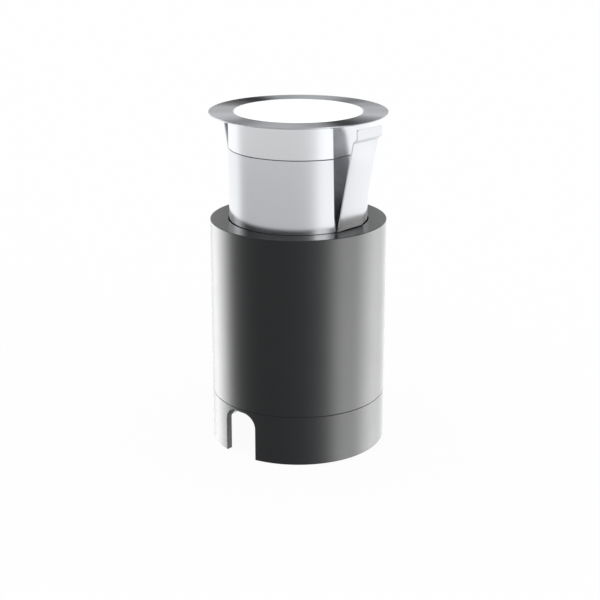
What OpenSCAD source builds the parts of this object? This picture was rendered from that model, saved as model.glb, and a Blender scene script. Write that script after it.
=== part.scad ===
// Round recessed floor light: a sprung luminaire that slides in a plug-together casing.
// Millimetres, +Z up, origin at the centre of the face that the casing stands on.
// The luminaire is drawn up out of the casing, where its open springs stop on the mouth.
// Heights on the luminaire are drops, counted down from the top of its flange.

/* [Casing] */
// Outer diameter of the casing, and of the flange that covers it
casing_d = 60; // [58:0.5:80]
// Height of the whole casing, base ring included
casing_h = 78.4; // [76:0.5:120]
// Thickness of the outer wall
casing_wall = 2.3; // [1.8:0.1:3]
// Thickness of the flat rim around the mouth
rim_t = 2.4; // [1.6:0.1:4]
// Thickness of the sleeve that guides the luminaire
sleeve_wall = 1.8; // [1.2:0.1:2.4]
// Depth of the guide sleeve below the rim
sleeve_h = 40; // [30:1:48]
// Number of ribs between the sleeve and the outer wall
rib_count = 8; // [4:1:16]
// Thickness of a rib
rib_t = 1.6; // [1:0.1:2.4]
// Chamfer on the outer edges of the casing
rim_chamfer = 0.2; // [0.1:0.05:0.6]

/* [Base ring] */
// Height of the base ring, from the ground to the seam
base_h = 17.2; // [14:0.1:24]
// Width of the cable slot
slot_w = 13.4; // [8:0.1:18]
// Height of the wall left above the cable slot
slot_band = 1.0; // [0.8:0.1:4]
// Radius of the slot's upper corners
slot_corner_r = 4.9; // [2:0.1:6]
// Height of the spigot that plugs into the tube
spigot_h = 6; // [5:0.1:10]
// Thickness of the spigot
spigot_wall = 1.8; // [1.2:0.1:2.4]
// Radius of the snap bead on the spigot
bead_r = 0.4; // [0.2:0.05:0.6]

/* [Luminaire body] */
// Diameter of the luminaire's body
body_d = 47; // [45:0.1:48]
// Running gap all round between the body and the bore
bore_gap = 0.35; // [0.3:0.05:0.6]
// Height of the body, from the flange's top to the bottom cap's face
body_h = 55.5; // [53:0.5:58]
// Height of the leaf's bend above the body's bottom end
bend_rise = 18.2; // [16:0.1:20]
// Thickness of the flange
flange_t = 0.8; // [0.6:0.1:1.2]
// Thickness of the flange at its edge
flange_edge_t = 0.4; // [0.3:0.05:0.5]
// Drop of the seam between head and housing
seam_drop = 12.2; // [10:0.1:14]
// Wall of the housing around the driver
housing_wall = 2.7; // [2.4:0.1:3]
// Depth of each spring flat, at the leaf's bend
flat_depth = 1.15; // [1:0.05:1.3]
// Inward lean of each spring flat, in degrees
flat_lean = 0.4; // [0:0.1:0.6]

/* [Leaf springs] */
// Width of a leaf
leaf_w = 12.2; // [9:0.1:12.6]
// Thickness of a leaf
leaf_t = 0.5; // [0.3:0.05:0.55]
// Outward tilt of the open blade, in degrees
leaf_tilt = 11.7; // [9:0.1:13]
// Drop from the mouth of the casing to the leaf's bend
bend_drop = 0.6; // [0.4:0.1:2]
// Drop of the blade's upper end
blade_drop = 6.3; // [5.5:0.1:9]
// Drop of the tab's upper edge
tab_drop = 1.8; // [1.6:0.1:2.4]
// Height of the upright tab
tab_h = 3.2; // [2:0.1:3.4]
// Outward step from the blade to the tab
tab_step = 1.5; // [0.8:0.1:1.8]
// Length of the foot below the bend
foot_h = 13; // [11:0.1:14]

/* [Light] */
// Diameter of the diffuser
diffuser_d = 42.7; // [40:0.1:42.8]
// Thickness of the diffuser
diffuser_t = 3.4; // [2:0.1:3.6]
// Thickness of the diffuser's seal
diffuser_seal_t = 0.6; // [0.4:0.1:1]
// Width of the ledge that carries the diffuser
ledge_w = 1.8; // [1.4:0.1:1.9]
// Thickness of that ledge
ledge_t = 1.4; // [1:0.1:2]
// Height of the light cup from the circuit board to its lip
cup_h = 10.3; // [8:0.1:12]
// Wall of the light cup
cup_wall = 1.0; // [0.8:0.1:1.2]
// Number of light-emitting diodes in the outer ring
outer_led_count = 8; // [6:1:10]
// Number of light-emitting diodes in the inner ring
inner_led_count = 4; // [3:1:4]

/* [Driver] */
// Thickness of both circuit boards
board_t = 1.6; // [1:0.1:2]
// Length of the spacers that carry the driver board
spacer_h = 5; // [4:0.5:7]
// Diameter of a capacitor
capacitor_d = 8; // [5:0.5:9]
// Height of a capacitor
capacitor_h = 11.5; // [7:0.5:13]
// Diameter of the choke
choke_d = 10; // [7:0.5:11]
// Height of the choke
choke_h = 9; // [6:0.5:11]
// Width of the terminal block
terminal_w = 10.4; // [8:0.1:12]

/* [Cable gland] */
// Diameter of the gland's thread
gland_thread_d = 12; // [10:0.5:12.5]
// Width of the gland's hexagons across their flats
gland_hex_w = 15; // [14:0.5:17]
// Diameter of the cable that the gland takes
cable_d = 6.6; // [4:0.1:7]
// Height of the gland below its washer
gland_h = 13.5; // [12:0.5:14]

/* [Hidden] */
$fn = 96;

// Shared clearances and small sizes
cut = 1;
slip_gap = 0.05;
edge = 0.15;
seat_inset = 0.2;
hex_sides = 6;

// Casing
casing_r = casing_d / 2;
wall_in_r = casing_r - casing_wall;
body_r = body_d / 2;
bore_r = body_r + bore_gap;
sleeve_out_r = bore_r + sleeve_wall;
rib_root = 0.4;
spigot_r = wall_in_r - slip_gap;
spigot_in_r = spigot_r - spigot_wall;
shoulder_h = 3;
bead_z = base_h + spigot_h / 2;

// Luminaire, placed from the top of its flange: the leaf's bend lies just inside the mouth
hinge_drop = body_h - bend_rise;
mouth_drop = hinge_drop - bend_drop;
flange_z = casing_h + mouth_drop;
flange_taper_w = 0.8;
thread_wall = 2.5;
thread_r = body_r - thread_wall;
chamber_r = body_r - housing_wall;
flat_r = body_r - flat_depth;

// Light chamber, from the diffuser down to the web
diffuser_r = diffuser_d / 2;
pocket_drop = diffuser_t + diffuser_seal_t;
ledge_r = diffuser_r + slip_gap - ledge_w;
ledge_drop = pocket_drop + ledge_t;
neck_gap = 0.5;
neck_drop = ledge_drop + neck_gap;
neck_wall = 2.6;
neck_r = thread_r - neck_wall;
seal_d = 1.1;
groove_h = 1.5;
neck_groove_drop = neck_drop + groove_h;
cup_gap = 0.3;
cup_drop = diffuser_t + cup_gap;
led_drop = cup_drop + cup_h;
cup_top_r = neck_r - cup_wall - slip_gap;
cup_flare = 4.2;
cup_foot_r = cup_top_r - cup_flare;
cup_lip_t = 1;
pad_drop = led_drop + board_t;
pad_t = 0.4;
web_drop = pad_drop + pad_t;
web_t = 3;
web_end_drop = web_drop + web_t;
led_board_gap = 0.1;
led_board_r = neck_r - led_board_gap;
led_w = 2.8;
led_l = 3.5;
led_h = 0.8;
led_corner_r = norm([led_w, led_l]) / 2;
outer_led_r = cup_foot_r - led_corner_r - slip_gap;
inner_led_r = 6;
small_screw_r = 1;
small_head_r = 1.7;
small_head_h = 1.2;
small_screw_l = 3.6;
small_screw_count = 3;
small_screw_turn = 60;
led_screw_ring_r = neck_r - small_head_r - seat_inset;
lead_hole_r = 2.6;
lead_r = 0.5;
lead_offset = 1;
lead_bend_r = 1.4;
lead_end_l = 1.6;
lead_turn_drop = led_drop - lead_r + lead_bend_r;
grommet_in_r = lead_offset + lead_r + slip_gap;

// Driver, hung from the web
driver_drop = web_end_drop + spacer_h;
driver_end_drop = driver_drop + board_t;
driver_margin = 2.6;
driver_r = chamber_r - driver_margin;
spacer_hex_w = 4.5;
spacer_ring_r = 15.2;
spacer_turn = 30;
spacer_stud_h = 2.2;
driver_screw_r = 1.2;
driver_head_r = 2;
driver_head_h = 1.4;
driver_screw_l = 3.4;
capacitor_x = -7.6;
capacitor_pitch = 9.4;
capacitor_groove = 0.5;
choke_x = 6.4;
choke_y = 4.2;
choke_flange_t = 1.4;
choke_waist_share = 0.55;
winding_inset = 0.3;
terminal_l = 7.6;
terminal_h = 8.4;
terminal_x = 5.6;
terminal_y = -8;
terminal_pole_count = 2;
terminal_pitch = terminal_w / terminal_pole_count;
terminal_wire_r = 1.2;
terminal_screw_r = 1.5;
terminal_screw_h = 1.6;
slit_w = 0.5;
slit_h = 0.6;
chip_w = 5;
chip_l = 6;
chip_h = 1.8;
chip_size_shares = [[1, 1, 1], [0.8, 0.8, 0.9], [1.2, 0.6, 1.2]];
chip_place_shares = [[-0.05, -0.03], [-0.11, -0.53], [-0.03, 0.58]];

// Bottom cap
cap_t = 3.5;
cap_drop = body_h - cap_t;
cap_spigot_h = 3;
cap_spigot_drop = cap_drop - cap_spigot_h;
cap_spigot_r = chamber_r - slip_gap;
cap_groove_drop = cap_drop - groove_h;
boss_r = 2.6;
boss_h = 10;
boss_ring_r = 16.8;
boss_count = 3;
boss_turn = 90;
cap_screw_r = 1.25;
cap_head_r = 2.4;
cap_screw_l = 13;
cap_screw_gap = 0.1;
boss_blind_t = 0.3;
notch_gap = 0.4;

// Cable gland
gland_r = gland_thread_d / 2;
gland_hex_r = gland_hex_w / 2 / cos(180 / hex_sides);
washer_t = 1;
washer_w = 1.6;
gland_hex_h = 4.6;
locknut_h = 3;
locknut_drop = cap_spigot_drop - locknut_h;
gland_top_drop = locknut_drop - seat_inset;
gland_hex_drop = body_h + washer_t;
gland_hex_end = gland_hex_drop + gland_hex_h;
gland_end_drop = gland_hex_drop + gland_h;
gland_nut_drop = gland_hex_end + seat_inset;
gland_seal_h = 6.4;
gland_seal_r = 4.6;
gland_seal_drop = gland_end_drop - gland_seal_h - slip_gap;
gland_lip_t = 1;
cable_gap = 0.3;
gland_bore_r = cable_d / 2 + cable_gap;

// Leaf springs
hinge_x = flat_r + leaf_t / 2;
foot_drop = hinge_drop + leaf_t / 2 + slip_gap;
foot_end_drop = hinge_drop + foot_h;
spring_screw_drops = [foot_drop + foot_h / 4, foot_end_drop - foot_h / 4];
spring_head_r = 1.8;
spring_head_h = 0.7;
spring_screw_r = 0.8;
spring_screw_l = 2.6;
spring_screw_end_gap = 0.1;
lug_depth = 3.4;
lug_w = 8.6;

// Distance of a spring flat from the axis at a drop
function flat_x(drop) = flat_r + (drop - hinge_drop) * tan(flat_lean);

// Outline of a strip of even thickness along a line of points, with mitred bends
function side(a, b) = [b[1] - a[1], a[0] - b[0]] / norm(b - a);
function mitre(p, i) =
    let (n = len(p) - 2)
    let (before = side(p[max(i - 1, 0)], p[max(i - 1, 0) + 1]))
    let (after = side(p[min(i, n)], p[min(i, n) + 1]))
    (before + after) / (1 + before * after);
function strip(p, t) = concat(
    [for (i = [0 : len(p) - 1]) p[i] + mitre(p, i) * t / 2],
    [for (i = [len(p) - 1 : -1 : 0]) p[i] - mitre(p, i) * t / 2]);

module at_luminaire() translate([0, 0, flange_z]) children();

// A disc between two drops, and a ring between two drops
module disc(r, top, bottom) translate([0, 0, -bottom]) cylinder(r = r, h = bottom - top);
module ring(out_r, in_r, top, bottom) difference() {
    disc(out_r, top, bottom);
    disc(in_r, top - cut, bottom + cut);
}

// Children repeated evenly around the axis
module around(count, radius, turn = 0)
    for (i = [0 : count - 1]) rotate([0, 0, turn + i * 360 / count]) translate([radius, 0, 0]) children();

// Right-hand and left-hand place of a spring
module on_side(side) rotate([0, 0, side == "right" ? 0 : 180]) children();
module both_sides() for (side = ["right", "left"]) on_side(side) children();

// A prism across the luminaire from an outline in X and minus drop
module across(width) rotate([90, 0, 0]) translate([0, 0, -width / 2]) linear_extrude(width) children();

// An O-ring that fills its groove between a floor and the wall around it
module o_ring(wall_r, drop) translate([0, 0, -drop]) rotate_extrude()
    translate([wall_r - seal_d / 2, 0]) circle(d = seal_d - slip_gap);

// What the two spring flats take off the body below the flange
module flats_cut() both_sides() across(body_d) polygon([
    [flat_x(flange_t), -flange_t],
    [body_r + cut, -flange_t],
    [body_r + cut, -body_h - cut],
    [flat_x(body_h + cut), -body_h - cut]]);

module slot_outline() {
    slot_h = base_h - slot_band;
    translate([-slot_w / 2, -cut]) square([slot_w, slot_h - slot_corner_r + cut]);
    translate([slot_corner_r - slot_w / 2, 0]) square([slot_w - 2 * slot_corner_r, slot_h]);
    for (x = [-1, 1]) translate([x * (slot_w / 2 - slot_corner_r), slot_h - slot_corner_r])
        circle(r = slot_corner_r);
}

// Casing
module casing_tube() color("#2f3033") difference() {
    union() {
        rotate_extrude() polygon([
            [bore_r, casing_h],
            [casing_r - rim_chamfer, casing_h],
            [casing_r, casing_h - rim_chamfer],
            [casing_r, base_h + edge],
            [casing_r - edge, base_h],
            [wall_in_r, base_h],
            [wall_in_r, casing_h - rim_t],
            [sleeve_out_r, casing_h - rim_t],
            [sleeve_out_r, casing_h - sleeve_h],
            [bore_r, casing_h - sleeve_h]]);
        around(rib_count, sleeve_out_r - rib_root) translate([0, -rib_t / 2, casing_h - sleeve_h])
            cube([wall_in_r - sleeve_out_r + 2 * rib_root, rib_t, sleeve_h - rim_t]);
    }
    rotate_extrude() translate([wall_in_r, bead_z]) circle(r = bead_r + slip_gap);
}

module base_ring() color("#2f3033") difference() {
    union() {
        rotate_extrude() polygon([
            [wall_in_r, 0],
            [casing_r - rim_chamfer, 0],
            [casing_r, rim_chamfer],
            [casing_r, base_h - edge],
            [casing_r - edge, base_h],
            [spigot_r, base_h],
            [spigot_r, base_h + spigot_h],
            [spigot_in_r, base_h + spigot_h],
            [spigot_in_r, base_h - shoulder_h],
            [wall_in_r, base_h - shoulder_h - spigot_wall]]);
        rotate_extrude() translate([spigot_r, bead_z]) circle(r = bead_r);
    }
    rotate([90, 0, 0]) linear_extrude(casing_r + cut) slot_outline();
}

// Head and housing, screwed together at the seam and sealed above the thread
module trim_head() color("#b9babc") difference() {
    at_luminaire() rotate_extrude() polygon([
        [diffuser_r + slip_gap, 0],
        [casing_r - edge, 0],
        [casing_r, -edge],
        [casing_r, -flange_edge_t],
        [casing_r - flange_taper_w, -flange_t],
        [body_r, -flange_t],
        [body_r, edge - seam_drop],
        [body_r - edge, -seam_drop],
        [thread_r, -seam_drop],
        [thread_r, -ledge_drop],
        [ledge_r, -ledge_drop],
        [ledge_r, -pocket_drop],
        [diffuser_r + slip_gap, -pocket_drop]]);
    at_luminaire() flats_cut();
}

module housing() color("#c9cacc") at_luminaire() difference() {
    union() {
        difference() {
            union() {
                disc(body_r, seam_drop, cap_drop);
                disc(thread_r - slip_gap, neck_drop, seam_drop + cut);
            }
            disc(chamber_r, web_end_drop, cap_drop + cut);
        }
        around(boss_count, boss_ring_r, boss_turn) {
            disc(boss_r, cap_spigot_drop - boss_h, cap_spigot_drop);
            translate([0, -boss_r / 2, -cap_spigot_drop])
                cube([chamber_r - boss_ring_r + rib_root, boss_r, boss_h]);
        }
        both_sides() translate([flat_r - lug_depth, -lug_w / 2, -cap_spigot_drop])
            cube([lug_depth - flat_depth, lug_w, cap_spigot_drop - hinge_drop]);
    }
    disc(neck_r, neck_drop - cut, web_drop);
    disc(lead_hole_r, web_drop - cut, web_end_drop + cut);
    ring(body_r, thread_r - seal_d, neck_groove_drop - groove_h / 2, neck_groove_drop + groove_h / 2);
    around(small_screw_count, led_screw_ring_r, small_screw_turn)
        disc(small_screw_r + slip_gap, web_drop - cut, pad_drop + small_screw_l);
    around(small_screw_count, spacer_ring_r, spacer_turn)
        disc(driver_screw_r + slip_gap, web_end_drop - spacer_stud_h - slip_gap, web_end_drop + cut);
    around(boss_count, boss_ring_r, boss_turn)
        disc(cap_screw_r + slip_gap, cap_spigot_drop - boss_h + boss_blind_t, cap_spigot_drop + cut);
    both_sides() for (drop = spring_screw_drops)
        translate([flat_x(drop) - spring_screw_l, 0, -drop]) rotate([0, 90, 0])
            cylinder(r = spring_screw_r + slip_gap, h = spring_screw_l + cut);
    flats_cut();
}

module head_seal() color("#1c1c1e") at_luminaire() o_ring(thread_r, neck_groove_drop);

// Light
module diffuser() color("#fbfbfb") at_luminaire() translate([0, 0, -diffuser_t]) rotate_extrude() polygon([
    [0, 0],
    [diffuser_r, 0],
    [diffuser_r, diffuser_t - edge],
    [diffuser_r - edge, diffuser_t],
    [0, diffuser_t]]);

module diffuser_seal() color("#2a2a2c") at_luminaire()
    ring(diffuser_r, ledge_r + seat_inset, diffuser_t, pocket_drop);

module light_cup() color("#f4f4f2") at_luminaire() rotate_extrude() polygon([
    [cup_foot_r, slip_gap - led_drop],
    [cup_foot_r + cup_wall, slip_gap - led_drop],
    [cup_top_r + cup_wall, -neck_drop],
    [ledge_r - edge, -neck_drop],
    [ledge_r - edge, cup_lip_t - neck_drop],
    [cup_top_r + cup_wall, cup_lip_t - neck_drop],
    [cup_top_r + cup_wall, -cup_drop],
    [cup_top_r, -cup_drop]]);

module led_board() color("#e9eae6") at_luminaire() difference() {
    disc(led_board_r, led_drop, pad_drop);
    disc(lead_hole_r, led_drop - cut, pad_drop + cut);
    around(small_screw_count, led_screw_ring_r, small_screw_turn)
        disc(small_screw_r + slip_gap, led_drop - cut, pad_drop + cut);
}

module led_chip() translate([-led_w / 2, -led_l / 2, -led_drop]) cube([led_w, led_l, led_h]);
module leds() color("#f3e36b") at_luminaire() {
    around(outer_led_count, outer_led_r, 180 / outer_led_count) led_chip();
    around(inner_led_count, inner_led_r, 180 / inner_led_count) led_chip();
}

module led_board_screws() color("#a9abad") at_luminaire()
    around(small_screw_count, led_screw_ring_r, small_screw_turn) {
        disc(small_head_r, led_drop - small_head_h, led_drop);
        disc(small_screw_r, led_drop - small_head_h / 2, led_drop + small_screw_l);
    }

module thermal_pad() color("#8f9499") at_luminaire() difference() {
    disc(led_board_r, pad_drop, web_drop);
    disc(lead_hole_r, pad_drop - cut, web_drop + cut);
    around(small_screw_count, led_screw_ring_r, small_screw_turn)
        disc(small_screw_r + slip_gap, pad_drop - cut, web_drop + cut);
}

module lead_grommet() color("#202022") at_luminaire()
    ring(lead_hole_r - slip_gap, grommet_in_r, web_drop, web_end_drop);

// Two leads from the driver board to the LED board, each bent over its pad
module led_leads() color("#b3262a") at_luminaire() both_sides() translate([lead_offset, 0, 0]) {
    disc(lead_r, lead_turn_drop, driver_drop);
    translate([lead_bend_r, 0, -lead_turn_drop]) rotate([90, 0, 0]) rotate([0, 0, 90])
        rotate_extrude(angle = 90) translate([lead_bend_r, 0]) circle(r = lead_r);
    translate([lead_bend_r, 0, lead_r - led_drop]) rotate([0, 90, 0]) cylinder(r = lead_r, h = lead_end_l);
}

// Driver
module driver_board() color("#1f6b3c") at_luminaire() difference() {
    disc(driver_r, driver_drop, driver_end_drop);
    around(boss_count, boss_ring_r, boss_turn) {
        disc(boss_r + notch_gap, driver_drop - cut, driver_end_drop + cut);
        translate([0, -boss_r - notch_gap, -driver_end_drop - cut])
            cube([driver_r, 2 * (boss_r + notch_gap), board_t + 2 * cut]);
    }
    around(small_screw_count, spacer_ring_r, spacer_turn)
        disc(driver_screw_r + slip_gap, driver_drop - cut, driver_end_drop + cut);
}

module driver_spacers() color("#c8a55a") at_luminaire() around(small_screw_count, spacer_ring_r, spacer_turn)
    difference() {
        union() {
            translate([0, 0, -driver_drop]) cylinder(d = spacer_hex_w, h = spacer_h, $fn = hex_sides);
            disc(driver_screw_r, web_end_drop - spacer_stud_h, web_end_drop + cut);
        }
        disc(driver_screw_r + slip_gap, driver_drop - driver_screw_l + board_t - slip_gap, driver_drop + cut);
    }

module driver_screws() color("#a9abad") at_luminaire() around(small_screw_count, spacer_ring_r, spacer_turn) {
    disc(driver_head_r, driver_end_drop, driver_end_drop + driver_head_h);
    disc(driver_screw_r, driver_end_drop - driver_screw_l, driver_end_drop + driver_head_h / 2);
}

module capacitors() color("#26354a") at_luminaire() for (y = [-0.5, 0.5])
    translate([capacitor_x, y * capacitor_pitch, -driver_end_drop - capacitor_h]) rotate_extrude() polygon([
        [0, 0],
        [capacitor_d / 2 - edge, 0],
        [capacitor_d / 2, edge],
        [capacitor_d / 2, capacitor_h - 4 * capacitor_groove],
        [capacitor_d / 2 - capacitor_groove, capacitor_h - 3 * capacitor_groove],
        [capacitor_d / 2, capacitor_h - 2 * capacitor_groove],
        [capacitor_d / 2, capacitor_h],
        [0, capacitor_h]]);

module at_choke() at_luminaire() translate([choke_x, choke_y, -driver_end_drop - choke_h]) children();
module choke_core() color("#3a3a3d") at_choke() {
    cylinder(d = choke_d, h = choke_flange_t);
    cylinder(d = choke_d * choke_waist_share, h = choke_h);
    translate([0, 0, choke_h - choke_flange_t]) cylinder(d = choke_d, h = choke_flange_t);
}
module choke_winding() color("#b5652a") at_choke() translate([0, 0, choke_flange_t + slip_gap]) difference() {
    cylinder(r = choke_d / 2 - winding_inset, h = choke_h - 2 * (choke_flange_t + slip_gap));
    translate([0, 0, -cut]) cylinder(d = choke_d * choke_waist_share + slip_gap, h = choke_h);
}

module driver_chips() color("#222225") at_luminaire() for (i = [0 : len(chip_size_shares) - 1]) {
    w = chip_w * chip_size_shares[i][0];
    l = chip_l * chip_size_shares[i][1];
    h = chip_h * chip_size_shares[i][2];
    place = driver_r * chip_place_shares[i];
    translate([place[0] - w / 2, place[1] - l / 2, -driver_end_drop - h]) cube([w, l, h]);
}

module at_terminal() at_luminaire() translate([terminal_x, terminal_y, -driver_end_drop]) children();
module at_poles() for (i = [0 : terminal_pole_count - 1])
    translate([(i + 0.5) * terminal_pitch - terminal_w / 2, 0, 0]) children();
module terminal_block() color("#3f7f4c") at_terminal() difference() {
    translate([-terminal_w / 2, -terminal_l / 2, -terminal_h]) cube([terminal_w, terminal_l, terminal_h]);
    at_poles() translate([0, 0, -terminal_h - cut])
        cylinder(r = terminal_screw_r + slip_gap, h = 2 * terminal_screw_h + cut);
    at_poles() translate([0, cut, terminal_wire_r + edge - terminal_h / 2]) rotate([90, 0, 0])
        cylinder(r = terminal_wire_r, h = terminal_l);
}
module terminal_screws() color("#c8a55a") at_terminal() at_poles() difference() {
    translate([0, 0, -terminal_h + terminal_screw_h]) cylinder(r = terminal_screw_r, h = terminal_screw_h);
    translate([-terminal_screw_r, -slit_w / 2, -terminal_h + terminal_screw_h - cut])
        cube([2 * terminal_screw_r, slit_w, slit_h + cut]);
}

// Bottom cap
module bottom_cap() color("#c9cacc") at_luminaire() difference() {
    union() {
        disc(body_r, cap_drop, body_h);
        disc(cap_spigot_r, cap_spigot_drop, cap_drop + cut);
    }
    ring(body_r, chamber_r - seal_d, cap_groove_drop - groove_h / 2, cap_groove_drop + groove_h / 2);
    disc(gland_r + slip_gap, cap_spigot_drop - cut, body_h + cut);
    around(boss_count, boss_ring_r, boss_turn) {
        disc(cap_screw_r + cap_screw_gap, cap_spigot_drop - cut, body_h + cut);
        translate([0, 0, -body_h]) cylinder(r1 = cap_head_r, r2 = cap_screw_r, h = cap_head_r - cap_screw_r);
    }
    flats_cut();
}
module cap_seal() color("#1c1c1e") at_luminaire() o_ring(chamber_r, cap_groove_drop);
module cap_screws() color("#a9abad") at_luminaire() around(boss_count, boss_ring_r, boss_turn)
    translate([0, 0, -body_h + slip_gap]) difference() {
        union() {
            cylinder(r1 = cap_head_r - slip_gap, r2 = cap_screw_r, h = cap_head_r - slip_gap - cap_screw_r);
            cylinder(r = cap_screw_r, h = cap_screw_l);
        }
        translate([0, 0, -cut]) cylinder(d = cap_head_r, h = slit_h + cut, $fn = hex_sides);
    }

// Cable gland, from the locknut inside the cap down to the clamping nut
module gland_hexagon(top, bottom) translate([0, 0, -bottom])
    cylinder(r = gland_hex_r, h = bottom - top, $fn = hex_sides);
module gland_body() color("#1d1e20") at_luminaire() difference() {
    union() {
        disc(gland_r, gland_top_drop, gland_seal_drop);
        gland_hexagon(gland_hex_drop, gland_hex_end);
    }
    disc(gland_bore_r, gland_top_drop - cut, gland_end_drop);
}
module gland_washer() color("#2a2a2c") at_luminaire()
    ring(gland_r + washer_w, gland_r + slip_gap, body_h, body_h + washer_t);
module gland_locknut() color("#1d1e20") at_luminaire() difference() {
    gland_hexagon(locknut_drop, cap_spigot_drop);
    disc(gland_r + slip_gap, locknut_drop - cut, cap_spigot_drop + cut);
}
module gland_seal() color("#3c3c3e") at_luminaire()
    ring(gland_seal_r, cable_d / 2, gland_seal_drop, gland_end_drop - gland_lip_t);
module gland_nut() color("#1d1e20") at_luminaire() difference() {
    union() {
        gland_hexagon(gland_nut_drop, gland_seal_drop + gland_seal_h / 2);
        disc(gland_r + edge, gland_nut_drop, gland_end_drop);
    }
    disc(gland_r + slip_gap, gland_nut_drop - cut, gland_seal_drop);
    disc(gland_seal_r + slip_gap, gland_nut_drop, gland_end_drop - gland_lip_t);
    disc(gland_bore_r, gland_nut_drop, gland_end_drop + cut);
}

// Leaf springs: a foot screwed to each flat, and a blade that flexes about the bend
module spring_foot(side) color("#d9dadb") at_luminaire() on_side(side) difference() {
    across(leaf_w) polygon([
        [flat_x(foot_drop), -foot_drop],
        [flat_x(foot_drop) + leaf_t, -foot_drop],
        [flat_x(foot_end_drop) + leaf_t, -foot_end_drop],
        [flat_x(foot_end_drop), -foot_end_drop]]);
    for (drop = spring_screw_drops) translate([flat_x(drop) - cut, 0, -drop]) rotate([0, 90, 0])
        cylinder(r = spring_screw_r + slip_gap, h = 2 * cut + leaf_t);
}
module spring_foot_right() spring_foot("right");
module spring_foot_left() spring_foot("left");

module spring_screws() color("#a9abad") at_luminaire() both_sides() for (drop = spring_screw_drops)
    translate([flat_x(drop), 0, -drop]) rotate([0, 90, 0]) difference() {
        union() {
            translate([0, 0, leaf_t + slip_gap]) cylinder(r = spring_head_r, h = spring_head_h - slip_gap);
            translate([0, 0, spring_screw_end_gap - spring_screw_l])
                cylinder(r = spring_screw_r, h = spring_screw_l + leaf_t);
        }
        translate([-slit_w / 2, -spring_head_r, leaf_t + spring_head_h / 2])
            cube([slit_w, 2 * spring_head_r, spring_head_h]);
    }

module spring_blade(side) color("#e3e4e5") at_luminaire() on_side(side) {
    blade_x = hinge_x + (hinge_drop - blade_drop) * tan(leaf_tilt);
    across(leaf_w) polygon(strip([
        [hinge_x, -hinge_drop],
        [blade_x, -blade_drop],
        [blade_x + tab_step, -tab_drop - tab_h],
        [blade_x + tab_step, -tab_drop]], leaf_t));
    across(leaf_w) translate([hinge_x, -hinge_drop]) circle(d = leaf_t);
}
module spring_blade_right() spring_blade("right");
module spring_blade_left() spring_blade("left");

casing_tube();
base_ring();
trim_head();
housing();
diffuser();
diffuser_seal();
head_seal();
light_cup();
led_board();
leds();
led_board_screws();
thermal_pad();
lead_grommet();
led_leads();
driver_board();
driver_spacers();
driver_screws();
capacitors();
choke_core();
choke_winding();
driver_chips();
terminal_block();
terminal_screws();
bottom_cap();
cap_seal();
cap_screws();
gland_body();
gland_washer();
gland_locknut();
gland_seal();
gland_nut();
spring_foot_right();
spring_foot_left();
spring_screws();
spring_blade_right();
spring_blade_left();
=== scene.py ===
import math

import bmesh
import bpy
from mathutils import Matrix, Vector


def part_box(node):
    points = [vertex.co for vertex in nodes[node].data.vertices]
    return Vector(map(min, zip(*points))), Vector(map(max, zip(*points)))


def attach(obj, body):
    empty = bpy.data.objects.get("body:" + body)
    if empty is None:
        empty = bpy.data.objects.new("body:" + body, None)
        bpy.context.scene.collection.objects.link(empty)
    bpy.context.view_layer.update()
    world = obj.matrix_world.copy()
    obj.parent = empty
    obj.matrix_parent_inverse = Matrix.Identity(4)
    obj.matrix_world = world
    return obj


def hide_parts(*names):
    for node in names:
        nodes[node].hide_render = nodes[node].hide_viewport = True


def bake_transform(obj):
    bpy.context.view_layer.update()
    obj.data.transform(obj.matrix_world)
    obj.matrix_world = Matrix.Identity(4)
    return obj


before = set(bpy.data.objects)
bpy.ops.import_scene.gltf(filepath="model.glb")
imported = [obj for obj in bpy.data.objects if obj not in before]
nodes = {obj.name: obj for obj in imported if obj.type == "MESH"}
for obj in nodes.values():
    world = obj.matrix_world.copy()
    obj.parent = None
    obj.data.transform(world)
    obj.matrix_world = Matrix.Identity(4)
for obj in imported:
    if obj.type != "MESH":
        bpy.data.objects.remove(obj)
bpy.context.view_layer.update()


# Studio: the light stands on a pale table in a white room that is dimmer in front of it than behind. Its
# bright metal mirrors the walls as soft bands, and the casing's rim mirrors two bright places above them.
def linear(code):
    """The linear colour of an sRGB hex colour."""
    channels = [int(code[i : i + 2], 16) / 255 for i in (1, 3, 5)]
    return [c / 12.92 if c <= 0.04045 else ((c + 0.055) / 1.055) ** 2.4 for c in channels] + [1.0]


def add(tree, kind, links=None, **settings):
    """One node with its settings. links gives inputs, by name or number, values or other nodes' outputs."""
    node = tree.nodes.new(kind)
    for name, value in settings.items():
        setattr(node, name, value)
    for key, value in (links or {}).items():
        if isinstance(value, bpy.types.NodeSocket):
            tree.links.new(value, node.inputs[key])
        else:
            node.inputs[key].default_value = value
    return node


def in_scene(name, data):
    """A new object in the scene."""
    item = bpy.data.objects.new(name, data)
    bpy.context.scene.collection.objects.link(item)
    return item


camera_azimuth, camera_elevation = math.radians(42), math.radians(16.9)
camera_distance, aim_height = 0.475, 0.0616
toward_camera = Vector((math.sin(camera_azimuth), -math.cos(camera_azimuth), 0))
to_the_right = Vector((math.cos(camera_azimuth), math.sin(camera_azimuth), 0))
back = toward_camera * math.cos(camera_elevation) + Vector((0, 0, math.sin(camera_elevation)))
camera_data = bpy.data.cameras.new("camera")
camera_data.lens = 82.8
camera_data.shift_x = 0.0027
camera_data.shift_y = -0.06
camera = in_scene("camera", camera_data)
camera.rotation_mode = "QUATERNION"
camera.location = Vector((0, 0, aim_height)) + back * camera_distance
camera.rotation_quaternion = (-back).to_track_quat("-Z", "Y")
bpy.context.scene.camera = camera
bpy.context.scene.view_settings.view_transform = "Standard"

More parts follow.
